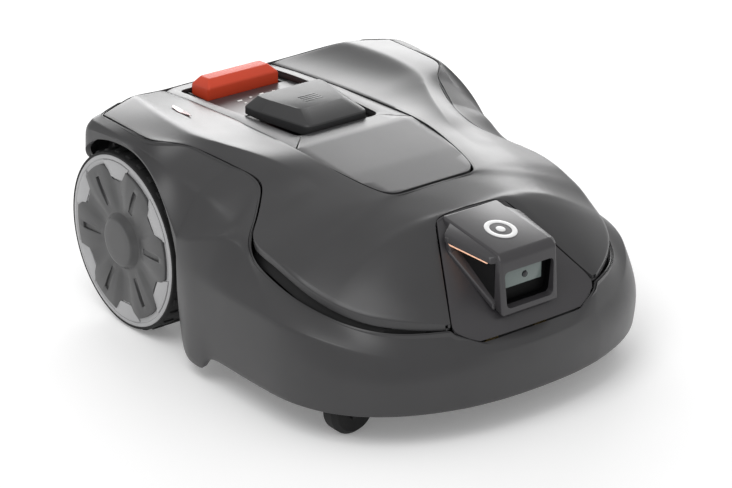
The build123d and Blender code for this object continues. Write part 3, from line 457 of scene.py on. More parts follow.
def place(obj, body, slot, *nodes, look=None):
    """Give a piece its body and its material, and hide the CAD nodes that it stands for.

    look names a material other than the slot's own.
    """
    obj.data.materials.clear()
    obj.data.materials.append(MATERIALS[look or slot])
    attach(obj, body)
    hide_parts(*nodes)


def paint_frame():
    """Node materials for every CAD node that stays in sight."""
    for part in frame["record"]["subparts"]:
        for slot in frame["nodes"][part["node"]].material_slots:
            slot.link = "OBJECT"
            slot.material = MATERIALS[part["material_slot"]]


# ---- lower shell
def arch_z(y):
    reach = ARCH_R ** 2 - (y - WHEEL_Y) ** 2
    return WHEEL_Z + math.sqrt(max(reach, 0.0))


def bumper_point(turn, grow=0.0):
    """Plan curve of the bumper: a superellipse; turn is 0 at the side and 90 at the nose."""
    angle = math.radians(turn)
    x = (BUMPER_HALF + grow) * math.cos(angle) ** (2 / 2.2)
    y = BUMPER_START - (BUMPER_REACH + grow) * math.sin(angle) ** (2 / 2.46)
    return (0.0 if turn == 90 else x), y


# Each row runs from the seam outwards and down: edge, shoulder crease, hollow, skirt crease,
# widest line, belly of the wall, lower rim.
TAIL = [
    ((0, 301.5, 216.5), (0, 304, 213), (0, 304.5, 195), (0, 304.5, 170), (0, 304.5, 130), (0, 303, 95),
     (0, 298, 62)),
    ((40, 301.5, 216.5), (40, 304, 213), (40, 304.5, 195), (40, 304.5, 170), (40, 304, 130), (40, 302.5, 95),
     (39, 297.5, 62)),
    ((75, 300.6, 216), (77, 302.6, 213), (78, 303, 195), (78, 303, 170), (78, 302, 130), (77, 300, 95),
     (75, 296, 62)),
    ((118, 274, 229.5), (121, 277, 227), (123, 279, 200), (123, 279, 170), (122, 278, 130), (121, 276, 95),
     (118, 272, 62)),
    ((152, 248.5, 242.3), (155, 251, 240), (157, 254, 215), (157, 254, 170), (156, 252, 130), (154, 250, 95),
     (152, 246, 62)),
    ((172, 240.5, 241.3), (176, 243, 239), (178, 245, 215), (178, 245, 170), (178, 244, 130), (177, 242, 95),
     (175, 238, 62)),
]
FENDER = [
    ((176, 239.5, 241.2), (180, 242.2, 238.6), (181.5, 243.6, 232), (182, 245, 224), (182, 248, 211),
     (182, 253.5, 194), (182, 264, 170)),
    ((200, 231.5, 239.2), (205, 235.5, 236), (207, 239.5, 230), (207, 242.5, 222), (206.5, 247, 209),
     (206, 253.5, 193), (205, 264, 170)),
    ((209, 226, 238.3), (219.5, 232, 235.2), (222, 236.5, 228.5), (222.5, 238.5, 221), (221.5, 241, 211),
     (219.5, 245, 200), (217.5, 251, 185)),
    ((209, 221, 238.2), (222.3, 226, 235), (227, 231.5, 228.5), (228.3, 233.5, 222.5), (228.8, 234.5, 217),
     (228.4, 235.5, 209), (227, 238, 199)),
]
ARCH_ROWS = [              # y, edge x, edge z, crease x, crease z, lip x, lip top z
    (220, 209, 238.2, 223, 235.2, 228.5, 227.5),
    (203, 209, 238.1, 223, 235.2, 228.5, 229),
    (178, 209, 237.8, 222.3, 234.3, 227.5, 231),
    (152, 209, 237.3, 218.2, 230.7, 225.5, 228.5),
    (141, 209, 237, 216, 228, 224.6, 225.4),
    (130, 207, 236.8, 213.8, 224.6, 224.2, 221.9),
    (118, 197.5, 237, 211.6, 221.1, 224.3, 216.8),
    (108, 185, 236.6, 209.8, 218, 224.8, 211.2),
    (98, 176.5, 235, 208.1, 215, 225.6, 204.8),
    (88, 172.5, 232.7, 206.6, 212.3, 226.7, 197.6),
    (76, 168, 229.5, 204.8, 209.2, 228, 187.6),
    (64, 163.2, 226.5, 203.2, 206.1, 229.3, 175.4),
    (55, 159.6, 224.4, 202, 203.6, 230.2, 165),
    (49, 157.2, 222.9, 201.2, 202, 230.9, 157.2),
    (47.4, 156.6, 222.5, 201, 201.6, 231, 155.6),
]
SIDE_ROWS = [              # edge, shoulder crease, skirt crease, crest, x and y of the belly, lower rim z
    ((156.3, 46.8, 222.4), (200.9, 46.8, 201.4), (231, 46.8, 154.6), (232, 46.9, 125), (232.2, 46.9), 44),
    ((155, 43.5, 221.7), (200.7, 43, 200.8), (230.8, 44.8, 155), (232.4, 45.2, 124.6), (233.4, 45), 33),
    ((151.3, 34, 220.4), (200, 33, 199.4), (229.9, 32.5, 157.2), (233.3, 36.8, 124.2), (237, 35), 21),
    ((149.2, 22, 218.6), (197.8, 20, 195.2), (227, 20.5, 161.6), (233.8, 25.8, 124), (240.4, 23), 16.3),
    ((148.6, 9, 216), (195.3, 8.5, 190.6), (223, 9.5, 166), (234, 14.8, 124), (241.8, 11), 16),
    ((150.8, -3, 211.7), (193.3, -2, 186.8), (219, -3.5, 170.4), (234, 3.8, 124), (242.2, -1), 16.2),
    ((159.2, -13.5, 206), (192, -11.5, 183.2), (216.5, -13.2, 173), (234, -5.2, 124), (242.2, -10), 17.5),
    ((171.5, -26, 198.8), (192.5, -21.5, 181.6), (214, -22.5, 174.4), (234, -14.2, 124), (242.2, -19), 34),
    ((186.3, -40.5, 190.3), (199, -36.5, 179), (209.8, -36, 171.8), (234, -30.2, 124), (242.2, -34), 38),
    ((200.8, -50, 181), (205, -48.5, 173), (208.6, -48.5, 166), (234, -43.2, 124), (242.2, -52), 38),
    ((205.5, -60, 160), (206.8, -60, 158.6), (208.8, -59.5, 157), (234, -55.2, 124), (242.2, -66), 38),
]
NOSE_ROWS = [              # turn, edge x, y, z, height of the wall's upper crease
    (2, 204.5, -94.5, 148.5, 129),
    (10, 203.5, -129.5, 141, 128),
    (20, 198.5, -158, 136, 125),
    (30, 190.5, -184, 131, 119.5),
    (40, 179, -209, 127, 111.5),
    (50, 160.5, -235.5, 124.5, 105.5),
    (60, 133, -256.5, 124, 102),
    (68.5, 103.5, -270.8, 124.8, 100),
    (70.5, 101.5, -271.6, 124.2, 99.7),
    (72.5, 98, -274.8, 119.8, 99.3),
    (76, 95, -276.3, 118.2, 98.8),
    (79, 71, -284.2, 106.8, 98.5),
    (81, 66, -285.4, 105.9, 98.5),
    (85, 35, -285.5, 105.8, 98.5),
    (90, 0, -285.5, 105.8, 98.5),
]


def lower_shell_rows():
    """The tables' rows with a flange under the seam, hollows between the creases and a turned-in rim."""
    rows = []
    for edge, *rest in TAIL:
        inner = lowered(rest[-1], -4.0 if edge[0] else 0.0, -RIM_RETURN, 1.0)
        rows.append([lowered(edge, 0, -0.6, -6.0), edge, *rest, inner])
    for edge, *rest in FENDER:
        inner = lowered(rest[-1], -4.0, -RIM_RETURN, 3.0)
        rows.append([lowered(edge, 0.5, 0.5, -3.0), edge, *rest, inner])
    for y, edge_x, edge_z, crease_x, crease_z, lip_x, lip_z in ARCH_ROWS:
        low = arch_z(y)
        edge = (edge_x, y, edge_z)
        crease = (crease_x, y, max(crease_z, low + 3.4))
        lip = (lip_x, y, max(lip_z, low + 2.8))
        foot = (lip_x - 0.3, y, low)
        rows.append([lowered(edge, 0.8, 0, -4.0), edge, crease, mix(crease, lip, 0.55, -0.6), lip,
                     mix(lip, foot, 0.35), mix(lip, foot, 0.7), foot, lowered(foot, -9.0, 0, 0.5)])
    for edge, shoulder, skirt, wide, (belly_x, belly_y), rim_z in SIDE_ROWS:
        sunk = -2.0 if -15 < edge[1] < 40 else 0.0
        rim = (belly_x - 4.0, belly_y, rim_z)
        rows.append([lowered(edge, 0.8, 0, -6.0), edge, shoulder, mix(shoulder, skirt, 0.5, sunk), skirt,
                     wide, (belly_x, belly_y, 80.0), rim, lowered(rim, -RIM_RETURN, 0, 1.0)])
    for turn, x, y, z, crease_z in NOSE_ROWS:
        edge = (x, y, z)
        wide_x, wide_y = bumper_point(turn, -1.0)
        share = min(wide_x / CREST_FULL_X, 1.0)
        crest = (wide_x - CREST_IN * share, wide_y + CREST_BACK * share, crease_z - CREST_DOWN * share)
        rim_x, rim_y = bumper_point(turn, -4.5)
        rows.append([lowered(edge, 0, 0, -7.0), edge, mix(edge, crest, 0.08, 0.3),
                     mix(edge, crest, 0.5, 1.2), mix(edge, crest, 0.8, 1.0), crest,
                     (*bumper_point(turn), 76.0), (rim_x, rim_y, 38.0),
                     (rim_x * 0.975, rim_y + RIM_RETURN, 39.0)])
    return rows


def lower_shell():
    tables = (TAIL, FENDER, ARCH_ROWS, SIDE_ROWS, NOSE_ROWS)
    ends = [sum(len(table) for table in tables[:k + 1]) for k in range(len(tables))]

    def along(*weights):
        """A crease's weight along each of the tables' stretches."""
        spans = [weight for weight, table in zip(weights, tables) for _ in table]
        return spans[1:]

    creases = {
        1: 0.85,
        2: along(0.5, 0.55, 0.86, 0.86, 0.0),
        4: along(0.0, 0.0, 0.7, 0.75, 0.0),
        5: along(0.0, 0.0, 0.0, 0.6, 0.62),
        7: 0.85,
    }
    # crisp corners before and behind the fender's arch
    row_creases = {ends[0] - 1: 0.9, ends[0]: 0.9, ends[2] - 1: 0.9, ends[2]: 0.9}
    shell = cage("lower_shell_skin", lower_shell_rows(), creases, row_creases)
    place(shell, "body_shell", "shell_plastic", "lower_shell")


# ---- top cover
COVER_ROWS = [             # spine side, ridge, outer edge, sag of the inner slope, swell of the outer face
    ((77.6, 298.3, 216.6), (151, 245.2, 243), (207.2, 226, 238.6), -1, 0.5),
    ((78, 292, 217.3), (152, 240, 243.6), (207.2, 221, 238.6), -1, 0.5),
    ((78.6, 240, 221.8), (158, 204, 244), (207.2, 200, 238.6), -2.5, 0.5),
    ((79.8, 190, 225), (161.5, 170, 243.2), (207.2, 168, 238.2), -3.5, 0.3),
    ((80.4, 150, 227.3), (161.6, 138, 241), (207, 139.5, 237.6), -3.5, 0),
    ((80.9, 125, 228.2), (160.5, 120, 239.6), (203.5, 126, 237.6), -3, -0.4),
    ((81.2, 108, 228.8), (158, 108, 238.6), (193, 113, 237.4), -2.6, -0.8),
    ((81.5, 92, 229.2), (153, 93, 237), (178, 99, 235.4), -2.4, -0.8),
    ((81.9, 72, 229.7), (143, 73, 234.2), (166, 76, 229.4), -2, -0.5),
    ((82.2, 48, 230.1), (130.5, 47, 231.5), (156, 49, 223.4), -1.2, 0.3),
    ((82.4, 26, 230.3), (121.5, 23, 229), (149, 24, 219.4), -0.4, 0.9),
    ((82.2, 8, 229.6), (115, 5, 226.2), (146.8, 8, 216.8), 0.2, 1),
    ((81.6, -8, 228.3), (111, -9, 223.2), (149.2, -4, 212.4), 0.5, 1.2),
    ((80.4, -24, 226.5), (109.2, -22, 220.3), (158.4, -15, 206.4), 0.6, 1.5),
    ((78.6, -38, 224.7), (108.6, -36, 218), (170.4, -27.5, 199.4), 0.8, 2),
    ((76.8, -50, 223.1), (108.4, -48, 216.2), (185, -41.5, 191.2), 0.8, 1),
    ((74.6, -64, 221.4), (108.2, -60, 214.5), (199.5, -52, 183.4), 0.8, 0.6),
    ((71.6, -79, 219.4), (108, -77, 212.4), (204.8, -68, 179), 0.8, 0.3),
    ((67.6, -94, 217.5), (106.5, -92, 210.6), (204, -92, 175.2), 0.8, 0.3),
    ((62.5, -108, 215.9), (101, -104, 209.9), (203, -108, 170.8), 0.8, 0.6),
    ((58, -116, 215.2), (95, -113, 209.5), (202.5, -118, 168), 0.8, 1),
    ((48, -119.6, 215.2), (90, -121, 209.2), (202, -126, 165.8), 0.8, 1.6),
    ((24, -120, 215.6), (84, -129, 208.6), (200.5, -138, 162), 1.5, 2.4),
    ((0, -120, 215.8), (79, -136, 208), (198.5, -148, 158.2), 2.5, 3.4),
    ((0, -148, 211.5), (69, -157, 206.2), (195, -162, 153.8), 0.6, 4.6),
    ((0, -174, 207.2), (64, -164, 205.2), (191, -176, 150.2), 0.4, 7),
    ((24, -174.2, 206.6), (63.5, -169.5, 204.6), (189.5, -181, 149.2), 0.4, 7),
    ((42, -175, 205.2), (64, -176.5, 203.4), (187, -188.5, 147.6), 0.3, 7),
    ((51, -181, 202), (66, -187, 197.6), (182.5, -199, 145.2), 0.3, 7),
    ((60.5, -199, 187.6), (74, -204, 184.2), (171, -218, 141), 0.2, 5.5),
    ((72, -219.5, 170.6), (84, -223, 168.2), (152, -237.5, 137.6), 0.2, 4),
    ((85, -243, 150.6), (93, -245, 149.2), (131, -253.5, 135.4), 0.1, 2),
    ((96, -262.5, 134.6), (99.5, -262.8, 134.2), (113, -264.5, 133.2), 0, 0.5),
    ((99.5, -268.6, 130.6), (101.5, -268.4, 130.8), (106, -267.8, 131.2), 0, 0),
]


def ridge_sharpness(y):
    """The ridge is soft behind, crisp beside the hatch and fades out towards the nose."""
    for behind, weight in ((100, 0.35), (10, 0.6), (-60, 0.66), (-170, 0.2)):
        if y > behind:
            return weight
    return 0.3


def top_cover():
    rows = []
    for i, (spine, ridge, edge, sag, swell) in enumerate(COVER_ROWS):
        crown = 2.2 if -170 < ridge[1] < -40 else 0.0
        deep = i >= COVER_LIP_ROW
        drop = min(COVER_LIP, edge[2] - 124.0) if deep else 4.5
        lip_in = 1.0 if deep else 0.8
        under_spine = lowered(spine, 0.4 if spine[0] else 0.0, 0.0, -4.5)
        if spine[0] < 60 and spine[1] < -118:
            under_spine = lowered(spine, 0.0, -0.5 if spine[1] > -140 else 0.5, -4.5)
        rows.append([under_spine, spine, mix(spine, ridge, 0.5, sag), ridge,
                     mix(ridge, edge, 0.33, swell + crown), mix(ridge, edge, 0.68, swell + 0.3 * crown),
                     edge, lowered(edge, -lip_in, 0, -drop),
                     lowered(edge, -lip_in - 6.0, 1.0, -drop - 1.0)])
    spans = range(len(rows) - 1)
    creases = {
        1: [1.0 if COVER_ROWS[i + 1][0][0] < 30 else 0.85 for i in spans],
        3: [ridge_sharpness(COVER_ROWS[i][1][1]) for i in spans],
        6: [0.85 if i < COVER_LIP_ROW else 0.7 for i in spans],
        7: 0.6,
    }
    last = len(rows) - 1
    cover = cage("top_cover_skin", rows, creases, corners=[(0, 1), (0, 6), (last, 1), (last, 6)])
    place(cover, "body_shell", "cover_plastic", "top_cover")


# ---- panels along the middle
# height of the deck, and half the width of the panels on it, as (y, value)
DECK_LINE = [(-122, 214.9), (-117.5, 215.4), (-60, 222.2), (25, 230.2), (52, 229.5), (160, 226.8),
             (240, 221.8), (299.5, 216.4)]
SPINE_LINE = [(-125, 40), (-119.6, 48), (-116, 58), (-108, 62.5), (-94, 67.6), (-79, 71.6),
              (-64, 74.6), (-50, 76.8), (-38, 78.6), (-24, 80.4), (-8, 81.6), (8, 82.2), (26, 82.4),
              (48, 82.2), (92, 81.5), (150, 80.4), (190, 79.8), (240, 78.6), (300, 77.6)]


def deck_z(y):
    return along_line(DECK_LINE, y)


def panel_edge(*ys):
    return [(along_line(SPINE_LINE, y) - GAP, y) for y in ys]


def well_outline(grow):
    half = [(58.0 + grow, 54.0 - grow), (66.0 + grow, 178.0), (66.0 + grow, 283.0 + grow)]
    return rounded(both_sides(half), WELL_RADII)


def deck_plate(name, outline, thickness, lift=0.0):
    """Plate inside a plan outline that follows the deck's top line and falls a little to the sides."""
    bm = bmesh.new()
    lo = min(y for _, y in outline) - 4
    hi = max(y for _, y in outline) + 4
    count = int((hi - lo) / 6.0) + 1
    rows = []
    for i in range(count + 1):
        y = lo + (hi - lo) * i / count
        rows.append([bm.verts.new((x, y, deck_z(y) + lift - 0.9 * (abs(x) / 82.0) ** 3))
                     for x in (-100, -82, -70, -55, -35, 0, 35, 55, 70, 82, 100)])
    for a, b in zip(rows, rows[1:]):
        for j in range(len(a) - 1):
            bm.faces.new((a[j], a[j + 1], b[j + 1], b[j]))
    geom = bmesh.ops.extrude_face_region(bm, geom=bm.faces[:])
    for v in (g for g in geom["geom"] if isinstance(g, bmesh.types.BMVert)):
        v.co.z -= thickness
    return combine(finish_mesh(name, bm), prism(name + "_cut", outline, 100.0, 300.0), "INTERSECT")


def control_panel():
    right = panel_edge(298.5, 270, 240, 210, 180, 150, 120, 90, 60, 40, 27.5)
    plate = deck_plate("control_panel_top", both_sides(right), PANEL_THICKNESS)
    cut(plate, prism("well_cut", well_outline(0.0), 100, 300))
    cut(plate, prism("tab_cut", both_sides([(58.0, 5.0), (82.9, 26.0), (58.0, 50.5)]), 100, 300))
    add_bevel(plate, 0.9, 3, 40.0)
    place(plate, "body_shell", "panel_plastic", "control_panel")


def well():
    """Black lining of the well: sloped wall, floor, pockets for dial and bar, brackets for the lid."""
    lining = loft("well_wall", [[(x, y, deck_z(y) - drop) for x, y in well_outline(grow)]
                                for grow, drop in ((1.2, 1.8), (0.0, 3.0), (-1.5, 7.4))], "open")
    thicken(lining, 1.2)
    apply_modifiers(lining)
    floor = deck_plate("well_floor", well_outline(-0.5), PANEL_THICKNESS, -WELL_DEPTH - 0.6)
    cut(floor, prism("dial_cut", rectangle(44, 66, 152), 190, 300))
    cut(floor, prism("bar_cut", rounded(rectangle(54, 240.5, 281.5), 5), 190, 300))
    tub = open_box("dial_pocket", (-46, 46), (64, 154), (198, 219.6), 2.0)
    bar_tub = open_box("bar_pocket", (-56, 56), (238.5, 283.0), (199, 214.5), 2.0)
    cut(tub, prism("dial_hole", [(36 * math.cos(a), 110 + 36 * math.sin(a)) for a in angles(36)], 190, 205))
    brackets = []
    for x0 in (-43.9, 40.3):
        brackets.append(block("bracket", (x0, x0 + 3.6), (145.0, 157.1), (225.7, 231.5), 0.8))
        brackets.append(block("bracket", (x0, x0 + 3.6), (145.0, 150.0), (199.0, 229.0), 0.8))
    place(join("well", [lining, floor, tub, bar_tub] + brackets), "body_shell", "black_plastic",
          "control_panel")


def keys():
    plate = deck_plate("key_plate", rounded(rectangle(63.5, 164, 239.5), 6), 0.9, -WELL_DEPTH + 0.2)
    add_bevel(plate, 0.4, 2, 40.0)
    place(plate, "body_shell", "panel_plastic", "control_panel")
    marks = []
    for x, y, w, h in ((-26, 214, 3.4, 1.6), (-9, 216, 1.6, 1.6), (8, 218, 3.0, 1.4), (25, 216, 2.0, 2.0),
                       (-26, 202, 1.5, 1.5), (-9, 200, 2.8, 1.2), (8, 203, 1.6, 1.6), (25, 202, 2.8, 1.2)):
        z = deck_z(y) - WELL_DEPTH + 0.15
        marks.append(block("mark", (x - w, x + w), (y - h, y + h), (z, z + 0.35), 0.1))
    place(join("key_marks", marks), "body_shell", "led_diffuser", "status_leds")


def hatch_panel():
    right = [(57.0, 50.4), *panel_edge(25.0, 8, -8, -24, -38, -50, -64, -79, -94, -104), (52.5, -115.6)]
    right_radii = [2, 1] + [0] * 8 + [3, 9]
    outline = rounded(both_sides(right), right_radii + right_radii[::-1])
    plate = deck_plate("hatch_top", outline, PANEL_THICKNESS, 0.3)
    add_bevel(plate, 1.0, 3, 40.0)
    place(plate, "body_shell", "panel_plastic", "hatch_panel")


def height_lid():
    foot = both_sides([(43.0, 56.5), (57.0, 140.0), (57.0, 161.5)])
    crown = both_sides([(32.0, 84.0), (44.5, 138.0), (44.5, 153.0)])
    foot_r, crown_r = [10, 30, 4, 4, 30, 10], [9, 20, 4, 4, 20, 9]

    def ring(outline, radii, z, slope=0.0):
        return [(x, y, z + slope * (100.0 - y)) for x, y in rounded(outline, radii)]

    edge = [(x * 0.985, 57.3 + (y - 56.5) * 0.985) for x, y in foot]
    outside = loft("lid_outside", [ring(foot, foot_r, 224.5), ring(foot, foot_r, 234.2, 0.02),
                                   ring(edge, foot_r, 235.8, 0.02), ring(crown, crown_r, 246.7, 0.006)])
    inner_foot = [(x * 0.955, 59.2 + (y - 56.5) * 0.948) for x, y in foot]
    inner_crown = [(x * 0.93, 91.0 + (y - 88.0) * 0.90) for x, y in crown]
    inside = loft("lid_inside", [ring(inner_foot, foot_r, 220.0), ring(inner_foot, foot_r, 233.0),
                                 ring(inner_crown, crown_r, 244.0)])
    cut(outside, inside, 30.0)
    add_bevel(outside, 1.5, 4, 24.0)
    ears = [block("ear", (x0, x0 + 8.0), (151.3, 159.6), (225.7, 234.0), 0.8) for x0 in (-40.0, 32.0)]
    place(join("lid", [outside] + ears), "height_lid", "lid_plastic", "height_lid")
    ribs = [block("grip", (-12.0, 12.0), (y, y + 2.0), (246.1, 247.0), 0.35)
            for y in (101.0, 106.0, 111.0, 116.0)]
    place(join("lid_grip", ribs), "height_lid", "lid_plastic", "height_lid")


def stop_button():
    low = rounded(rectangle(51, 242, 279), 3)
    mid = rounded(rectangle(50.0, 242.8, 278.2), 3)
    high = rounded(rectangle(43.0, 253.0, 271.0), 3)

    def ring(outline, z, slope):
        return [(x, y, z - slope * (y - 250.0)) for x, y in outline]

    bar = loft("stop_bar", [ring(low, 209.5, 0.0), ring(low, 226.0, 0.08), ring(mid, 228.5, 0.08),
                            ring(high, 236.6, 0.05)])
    add_bevel(bar, 1.6, 4, 24.0)
    place(bar, "stop_button", "stop_orange", "stop_button")


def spring_pad():
    """Waisted silicone pad under the stop bar."""
    foot_z, top_z = 201.0, 209.0
    rings = []
    for z, waist in ((foot_z, 0.0), (foot_z + 2.0, 1.2), (top_z - 2.0, 1.2), (top_z, 0.0)):
        outline = rounded(rectangle(14 - waist, 252 + waist, 269 - waist), 2.5)
        rings.append([(x, y, z) for x, y in outline])
    pad = loft("spring_pad", rings)
    place(pad, "body_shell", "silicone", "stop_spring_pad")
    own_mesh(pad)


# ---- camera panel and housing
CAMERA_ROWS = [            # points from the middle outwards
    ((0, -176.2, 207.2), (22, -176.3, 206.8), (40, -177, 205.4), (46.5, -179, 203.8)),
    ((0, -180, 204.5), (24, -180, 204), (42, -181, 202.4), (49.6, -184, 200)),
    ((0, -199, 191), (28, -199, 190.2), (48, -199.5, 188.2), (59.2, -200.5, 186.4)),
    ((0, -219, 176), (32, -219, 174.8), (56, -219.2, 172.4), (70.6, -220.5, 169.8)),
    ((0, -243, 155.5), (38, -243, 154.2), (67, -243.4, 151.8), (83.6, -244, 149.8)),
    ((0, -262, 137), (44, -262, 136.2), (76, -262.4, 135), (94.8, -263, 134.2)),
    ((0, -270.5, 127.6), (48, -270.5, 127.2), (80, -270, 126.6), (98.4, -269.8, 125.8)),
    ((0, -276.5, 121.2), (46, -276, 121.2), (76, -275, 121), (94.5, -274.6, 120.4)),
    ((0, -282.2, 112), (40, -282, 112), (66, -281, 112.4), (82, -280, 112.4)),
    ((0, -284.6, 107.4), (35, -284.4, 107.4), (56, -284, 107.6), (70.2, -283.4, 107.8)),
]


def camera_panel():
    rows = [[*row, lowered(row[-1], -0.6, 0.8, -4.0)] for row in CAMERA_ROWS]
    first = [lowered(p, 0, 0.5, -4.0) for p in rows[0]]
    last = [lowered(p, 0, 2.5, -1.5) for p in rows[-1]]
    rows = [first] + rows + [last]
    front = len(rows) - 2
    panel = cage("camera_panel_skin", rows, {3: 0.85}, {1: 0.85, front: 0.85}, thickness=2.2,
                 corners=[(1, 3), (8, 3), (front, 3)])
    cut(panel, block("housing_cut", (-30, 30), (-300, -262), (140, 168)))
    place(panel, "body_shell", "camera_plastic", "camera_panel")


def window_ring(grow, y):
    """Outline of the window's opening at y, a little wider at the top."""
    low, high = 134.0 - grow, 172.5 + grow
    outline = [(-31.0 - grow, low), (31.0 + grow, low), (34.5 + grow, high), (-34.5 - grow, high)]
    return [(x, y, z) for x, z in rounded(outline, 6.0)]


def camera_housing():
    """Flat sloping top, nearly upright face with a flared frame round the window, and a flared foot."""
    housing = loft("housing", [
        [(-39.5, -281.5, 124.5), (39.5, -281.5, 124.5), (39.5, -262, 133), (-39.5, -262, 133)],
        [(-39, -276.8, 187.0), (39, -276.8, 187.0), (41, -186, 191), (-41, -186, 191)],
        [(-37.5, -270.5, 193.2), (37.5, -270.5, 193.2), (38.5, -177.4, 206.4), (-38.5, -177.4, 206.4)],
    ])
    add_bevel(housing, 3.0, 5, 20.0)
    cut(housing, loft("window_cut", [window_ring(0.0, -300.0), window_ring(0.0, -259.0)]), 30.0)
    wide = rounded([(-33.0, 131.0), (33.0, 131.0), (36.0, 176.0), (-36.0, 176.0)], 7)
    slope = loft("frame_cut", [[(x, -286.0, z) for x, z in wide],
                               [(x * 0.92, -271.5, 153.5 + (z - 153.5) * 0.84) for x, z in wide]])
    cut(housing, slope, 30.0)
    place(housing, "body_shell", "camera_plastic", "camera_housing")


def camera_window():
    depth = block("depth", (-34, 34), (-266, -264), (131, 175))
    place(depth, "body_shell", "window_glass", "camera_window", look="window_black")
    sleeve = loft("sleeve", [window_ring(0.3, -261.0), window_ring(0.3, -273.5), window_ring(-0.5, -273.5),
                             window_ring(-0.5, -261.0), window_ring(0.3, -261.0)], "open")
    place(sleeve, "body_shell", "window_glass", "camera_window", look="window_black")
    pane = block("pane", (-33.5, 24.0), (-270.5, -268.5), (151.0, 172.0), 1.6, 3)
    place(pane, "body_shell", "window_glass", "camera_window")
    profile = [(0.0, -272.2), (2.0, -272.0), (3.4, -271.4), (3.8, -270.4), (0.0, -270.4)]
    eye = lathe("eye", profile, 48, lambda u, v, y: (u, y, 161.5 + v))
    place(eye, "body_shell", "lens_glass", "camera_lens")


def badge():
    """Plain round mark, let into the housing's sloping top."""
    mark = join("badge", [ring_plate("badge_ring", 17.0, 11.5), ring_plate("badge_dot", 5.0, 0.0)])
    tilt = math.atan2(204.6 - 192.8, 271.0 - 180.5)
    mark.data.transform(Matrix.Rotation(tilt, 4, "X"))
    mark.data.transform(Matrix.Translation(Vector((0.0, -230.0, 198.3)) * MM))
    place(mark, "body_shell", "led_diffuser", "camera_housing", look="badge_white")


def ring_plate(name, outer, inner):
    """Flat oval ring, or a disc where inner is 0."""
    height, stretch, count = 1.2, 1.15, 64
    corners = [(outer, 0.0), (outer, height)]
    if inner:
        corners += [(inner, height), (inner, 0.0)]
    rings = [[(r * math.cos(a), r * stretch * math.sin(a), z) for a in angles(count)] for r, z in corners]
    return add_bevel(loft(name, rings, "joined" if inner else "closed"), 0.3, 2, 40.0)


# corners of a lamp pod's pieces on the +X side: the lower four, then the upper four
LAMP_PIECES = {
    "visor": ([(37, -196, 195.5), (56.5, -203, 189.5), (46.5, -268, 183.5), (37, -273, 183)],
              [(37, -190, 203.6), (53, -199, 197), (44.5, -264, 189.8), (37, -269, 191.8)]),
    "ridge": ([(36, -213, 177), (56.5, -214, 174.5), (44, -271, 131), (36, -271, 131)],
              [(36, -206, 187.5), (56.5, -208, 184), (44.5, -271, 139), (36, -271, 141)]),
    "back": ([(36, -205, 178), (56.5, -209, 178), (55, -214, 178), (36, -215, 178)],
             [(36, -197, 198), (55, -202.5, 194.5), (54.5, -208, 194.5), (36, -207, 198)]),
    "inner": ([(36, -212, 176), (44, -212, 178), (40.2, -268, 137), (36, -268, 137)],
              [(36, -208, 192), (44.5, -208, 192), (40.8, -268, 187), (36, -268, 187)]),
    "lens_bar": ([(40, -209, 187.4), (54.2, -209, 187.2), (45.8, -262, 182.4), (38, -262, 182.4)],
                 [(40, -209, 189.6), (54.8, -209, 189.4), (46.4, -262, 184.6), (38, -262, 184.6)]),
}


def lamp_piece(name, side, bevel=0.0):
    piece = loft(name, [[(side * x, y, z) for x, y, z in ring] for ring in LAMP_PIECES[name]])
    return add_bevel(piece, bevel, 3, 20.0) if bevel else piece


def lamp_wings():
    """Triangular pods on the housing's sides: visor, glowing lens line, sunk panel, lower ridge."""
    pods, panels, lenses = [], [], []
    for side in (1, -1):
        pods.append(lamp_piece("visor", side, 1.8))
        pods.append(lamp_piece("ridge", side, 1.6))
        pods.append(lamp_piece("back", side, 1.2))
        panels.append(lamp_piece("inner", side))
        lenses.append(lamp_piece("lens_bar", side))
    place(join("lamp_pods", pods), "body_shell", "camera_plastic", "lamp_wings")
    place(join("lamp_panels", panels), "body_shell", "black_plastic", "lamp_wings")
    place(join("lamp_lenses", lenses), "body_shell", "led_diffuser", "lamp_wings", look="lamp_lens")


# ---- drive wheels
def about_axle(u, v, x):
    return (x, WHEEL_Y + u, WHEEL_Z + v)


def radial(r, turn, x):
    """Point at a radius and a turn from the top about the rear axle, on the +X side."""
    angle = math.radians(turn)
    return (x, WHEEL_Y + r * math.sin(angle), WHEEL_Z + r * math.cos(angle))


def radial_patch(r, turn, half_width, x0, x1):
    """Corners of a patch at a radius, half_width degrees to each side of turn and from x0 to x1."""
    return [radial(r, turn - half_width, x0), radial(r, turn + half_width, x0),
            radial(r, turn + half_width, x1), radial(r, turn - half_width, x1)]


def radial_plate(name, outline, x0, x1, bevel=0.0):
    """Plate over an outline of (radius, turn) points between two planes across the axle."""
    plate = loft(name, [[radial(r, turn, x) for r, turn in outline] for x in (x0, x1)])
    return add_bevel(plate, bevel, 2, 30.0) if bevel else plate


def tyre():
    """Carcass with a rounded shoulder, and two rows of chunky lugs."""
    inner, face = WHEEL_INNER, WHEEL_FACE
    carcass = lathe("carcass", [
        (96.5, inner), (102.5, inner), (104.4, inner + 2.0), (105.0, inner + 8.0), (105.0, face - 8.0),
        (104.8, face - 3.5), (104.2, face - 1.6), (103.0, face - 1.0), (101.8, face - 1.4),
        (96.5, face - 3.0), (96.5, inner),
    ], 128, about_axle)
    lugs = []
    for k in range(LUGS):
        for x0, x1, offset in ((inner + 2.0, inner + 18.0, 0.0), (face - 21.0, face - 5.0, 180.0 / LUGS)):
            turn = k * 360.0 / LUGS + offset
            lugs.append(loft("lug", [radial_patch(101.5, turn, 2.9, x0, x1),
                                     radial_patch(106.9, turn, 2.3, x0 + 1.2, x1 - 1.2)]))
    return join("tyre", [carcass, add_bevel(join("lugs", lugs), 0.8, 2, 30.0)])


